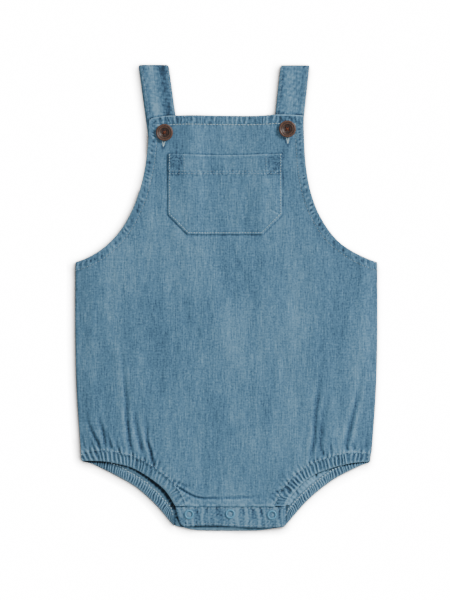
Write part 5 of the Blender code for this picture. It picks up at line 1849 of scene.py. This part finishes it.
def make_stage():
    """A white floor, a large soft light from the upper right, a weak one from the left and a camera overhead."""
    settings = bpy.context.scene.overalls
    bpy.ops.mesh.primitive_plane_add(size=FLOOR_SIZE, location=(0.0, 0.0, FLOOR_LEVEL))
    floor = bpy.context.object
    floor.name = "floor"
    paper, build, shader = new_material("white_paper")
    place = build.add("ShaderNodeTexCoord")
    fibre = build.add("ShaderNodeTexNoise", {"Vector": place.outputs["Object"], "Scale": 180.0, "Detail": 3.0})
    white = (0.93, 0.93, 0.93, 1.0)
    mottled = build.mix(fibre.outputs[0], (0.91, 0.91, 0.91, 1.0), white)
    paper.node_tree.links.new(mottled, shader.inputs["Base Color"])
    shader.inputs["Roughness"].default_value = 0.9
    shader.inputs["Specular IOR Level"].default_value = 0.1
    # To the camera the paper glows, darkened near the garment by ambient occlusion: a painted contact shadow
    tilt = build.add("ShaderNodeCombineXYZ", CONTACT_SHADOW_TILT).outputs[0]
    values = {"Distance": CONTACT_SHADOW_REACH, "Normal": tilt}
    contact = build.add("ShaderNodeAmbientOcclusion", values, samples=12)
    shade = build.math("POWER", contact.outputs["AO"], CONTACT_SHADOW_POWER)
    strength = build.math("MULTIPLY", shade, settings.floor_glow)
    glow = build.add("ShaderNodeEmission", {"Strength": strength}).outputs[0]
    seen = build.add("ShaderNodeLightPath").outputs["Is Camera Ray"]
    both = build.add("ShaderNodeMixShader", {0: seen, 1: shader.outputs[0], 2: glow}).outputs[0]
    paper.node_tree.links.new(both, paper.node_tree.nodes["Material Output"].inputs["Surface"])
    floor.data.materials.append(paper)

    def softbox(name, place, size, power):
        lamp = bpy.data.lights.new(name, "AREA")
        lamp.shape = "DISK"
        lamp.size = size
        lamp.energy = power
        holder = bpy.data.objects.new(name, lamp)
        bpy.context.scene.collection.objects.link(holder)
        holder.location = place
        holder.rotation_euler = (-Vector(place)).to_track_quat("-Z", "Y").to_euler()

    softbox("key_light", KEY_LIGHT_PLACE, KEY_LIGHT_SIZE, settings.key_power)
    softbox("fill_light", FILL_LIGHT_PLACE, FILL_LIGHT_SIZE, settings.fill_power)
    world = bpy.context.scene.world or bpy.data.worlds.new("studio")
    bpy.context.scene.world = world
    world.use_nodes = True
    background = world.node_tree.nodes.get("Background") or world.node_tree.nodes.new("ShaderNodeBackground")
    background.inputs["Color"].default_value = (1.0, 1.0, 1.0, 1.0)
    background.inputs["Strength"].default_value = settings.room_light

    camera = bpy.data.cameras.new("overhead_camera")
    camera.lens = CAMERA_LENS
    camera.sensor_width = CAMERA_SENSOR
    holder = bpy.data.objects.new("overhead_camera", camera)
    bpy.context.scene.collection.objects.link(holder)
    holder.location = CAMERA_PLACE
    bpy.context.scene.camera = holder


# Add-on


def colour_property(name, description, default):
    """A colour that the user may change."""
    return FloatVectorProperty(
        name=name, description=description, default=default, subtype="COLOR", size=3, min=0.0, max=1.0,
    )


def size_property(name, description, default):
    """A length that the user may change."""
    return FloatProperty(name=name, description=description, default=default, min=0.0, unit="LENGTH", precision=5)


class OverallsSettings(bpy.types.PropertyGroup):
    """Sizes and colours of the dressed garment."""

    # The deep colour also serves painted shade in troughs, and the pale one painted highlights
    denim_deep: colour_property("Deep denim", "Colour of unfaded warp streaks and troughs", (0.034, 0.084, 0.148))
    denim_middle: colour_property("Denim", "Main colour of the cloth", (0.099, 0.229, 0.362))
    denim_pale: colour_property("Pale denim", "Colour of slubs and of worn ridges", (0.215, 0.405, 0.560))
    thread_colour: colour_property("Thread", "Colour of the topstitching", (0.420, 0.560, 0.640))
    inside_thread_colour: colour_property(
        "Inside thread", "Colour of the elastic's stitching", (0.470, 0.680, 0.940),
    )
    button_dark: colour_property("Button, dark", "Darkest brown of the buttons", (0.012, 0.007, 0.006))
    button_light: colour_property("Button, light", "Lightest brown of the buttons", (0.175, 0.082, 0.050))
    button_thread: colour_property("Button thread", "Colour of the thread in the buttons", (0.230, 0.060, 0.022))
    stud_colour: colour_property("Press studs", "Colour of the lacquered rings", (0.135, 0.420, 0.640))
    crease_depth: FloatProperty(
        name="Creases", description="Strength of the creases", default=1.0, min=0.0, max=2.0,
    )
    body_puff: size_property("Body puff", "Air under the lower half of the front", 0.0012)
    pucker_depth: size_property("Puckers", "Depth of the puckers in the hems", 0.0007)
    ruche_depth: size_property("Ruches", "Depth of the ruches in the leg casings", 0.0015)
    stitch_length: size_property("Stitch length", "Length of one stitch", 0.0021)
    stitch_pitch: size_property("Stitch pitch", "Distance from one stitch to the next", 0.0028)
    stitch_thickness: size_property("Thread thickness", "Thickness of the topstitching thread", 0.00040)
    key_power: FloatProperty(name="Key light", description="Power of the main light", default=62.0, unit="POWER")
    fill_power: FloatProperty(name="Fill light", description="Power of the weak light", default=6.0, unit="POWER")
    room_light: FloatProperty(name="Room light", description="Strength of the light all round", default=0.40)
    floor_glow: FloatProperty(
        name="Floor glow", description="How bright the paper looks to the camera", default=16.0,
    )


class OVERALLS_OT_back(bpy.types.Operator):
    """Make the back with its hems and leg casings"""

    bl_idname = "overalls.back"
    bl_label = "Back, hems and casings"

    def execute(self, context):
        make_back()
        make_back_hems()
        make_back_casings()
        return {"FINISHED"}


class OVERALLS_OT_straps(bpy.types.Operator):
    """Make the two shoulder straps"""

    bl_idname = "overalls.straps"
    bl_label = "Straps"

    def execute(self, context):
        make_straps()
        return {"FINISHED"}


class OVERALLS_OT_front(bpy.types.Operator):
    """Make the front, bib and body in one"""

    bl_idname = "overalls.front"
    bl_label = "Front"

    def execute(self, context):
        make_front()
        return {"FINISHED"}


class OVERALLS_OT_front_hems(bpy.types.Operator):
    """Make the bib's hem and the armhole hems"""

    bl_idname = "overalls.front_hems"
    bl_label = "Bib and armhole hems"

    def execute(self, context):
        make_bib_hem()
        make_armhole_hems()
        return {"FINISHED"}


class OVERALLS_OT_pocket(bpy.types.Operator):
    """Make the chest pocket"""

    bl_idname = "overalls.pocket"
    bl_label = "Chest pocket"

    def execute(self, context):
        make_pocket()
        return {"FINISHED"}


class OVERALLS_OT_front_casings(bpy.types.Operator):
    """Make the elastic leg casings of the front"""

    bl_idname = "overalls.front_casings"
    bl_label = "Front leg casings"

    def execute(self, context):
        make_front_casings()
        return {"FINISHED"}


class OVERALLS_OT_plackets(bpy.types.Operator):
    """Make the two crotch plackets"""

    bl_idname = "overalls.plackets"
    bl_label = "Crotch plackets"

    def execute(self, context):
        make_back_placket()
        make_front_placket()
        return {"FINISHED"}


class OVERALLS_OT_studs(bpy.types.Operator):
    """Make the press studs"""

    bl_idname = "overalls.studs"
    bl_label = "Press studs"

    def execute(self, context):
        make_studs()
        return {"FINISHED"}


class OVERALLS_OT_buttons(bpy.types.Operator):
    """Make the buttons and their sewing"""

    bl_idname = "overalls.buttons"
    bl_label = "Buttons"

    def execute(self, context):
        make_buttons()
        return {"FINISHED"}


class OVERALLS_OT_stitching(bpy.types.Operator):
    """Make the topstitching"""

    bl_idname = "overalls.stitching"
    bl_label = "Stitching"

    def execute(self, context):
        make_stitching()
        return {"FINISHED"}


class OVERALLS_OT_stage(bpy.types.Operator):
    """Make the floor, the lights and the camera"""

    bl_idname = "overalls.stage"
    bl_label = "Stage"

    def execute(self, context):
        make_stage()
        return {"FINISHED"}


OPERATORS = (
    OVERALLS_OT_back, OVERALLS_OT_straps, OVERALLS_OT_front, OVERALLS_OT_front_hems, OVERALLS_OT_pocket,
    OVERALLS_OT_front_casings, OVERALLS_OT_plackets, OVERALLS_OT_studs, OVERALLS_OT_buttons,
    OVERALLS_OT_stitching, OVERALLS_OT_stage,
)


class OVERALLS_PT_panel(bpy.types.Panel):
    """The garment's pieces and settings"""

    bl_label = "Overalls"
    bl_idname = "OVERALLS_PT_panel"
    bl_space_type = "VIEW_3D"
    bl_region_type = "UI"
    bl_category = "Overalls"

    def draw(self, context):
        """Lists the operators and the settings."""
        for operator in OPERATORS:
            self.layout.operator(operator.bl_idname)
        for name in OverallsSettings.__annotations__:
            self.layout.prop(context.scene.overalls, name)


CLASSES = (OverallsSettings, *OPERATORS, OVERALLS_PT_panel)


def register():
    """Registers the classes and the settings."""
    for item in CLASSES:
        bpy.utils.register_class(item)
    bpy.types.Scene.overalls = PointerProperty(type=OverallsSettings)


def unregister():
    """Removes the settings and the classes."""
    del bpy.types.Scene.overalls
    for item in reversed(CLASSES):
        bpy.utils.unregister_class(item)


def main():
    """Makes every piece and the stage."""
    register()
    for operator in OPERATORS:
        group, name = operator.bl_idname.split(".")
        getattr(getattr(bpy.ops, group), name)()


if __name__ == "__main__":
    main()
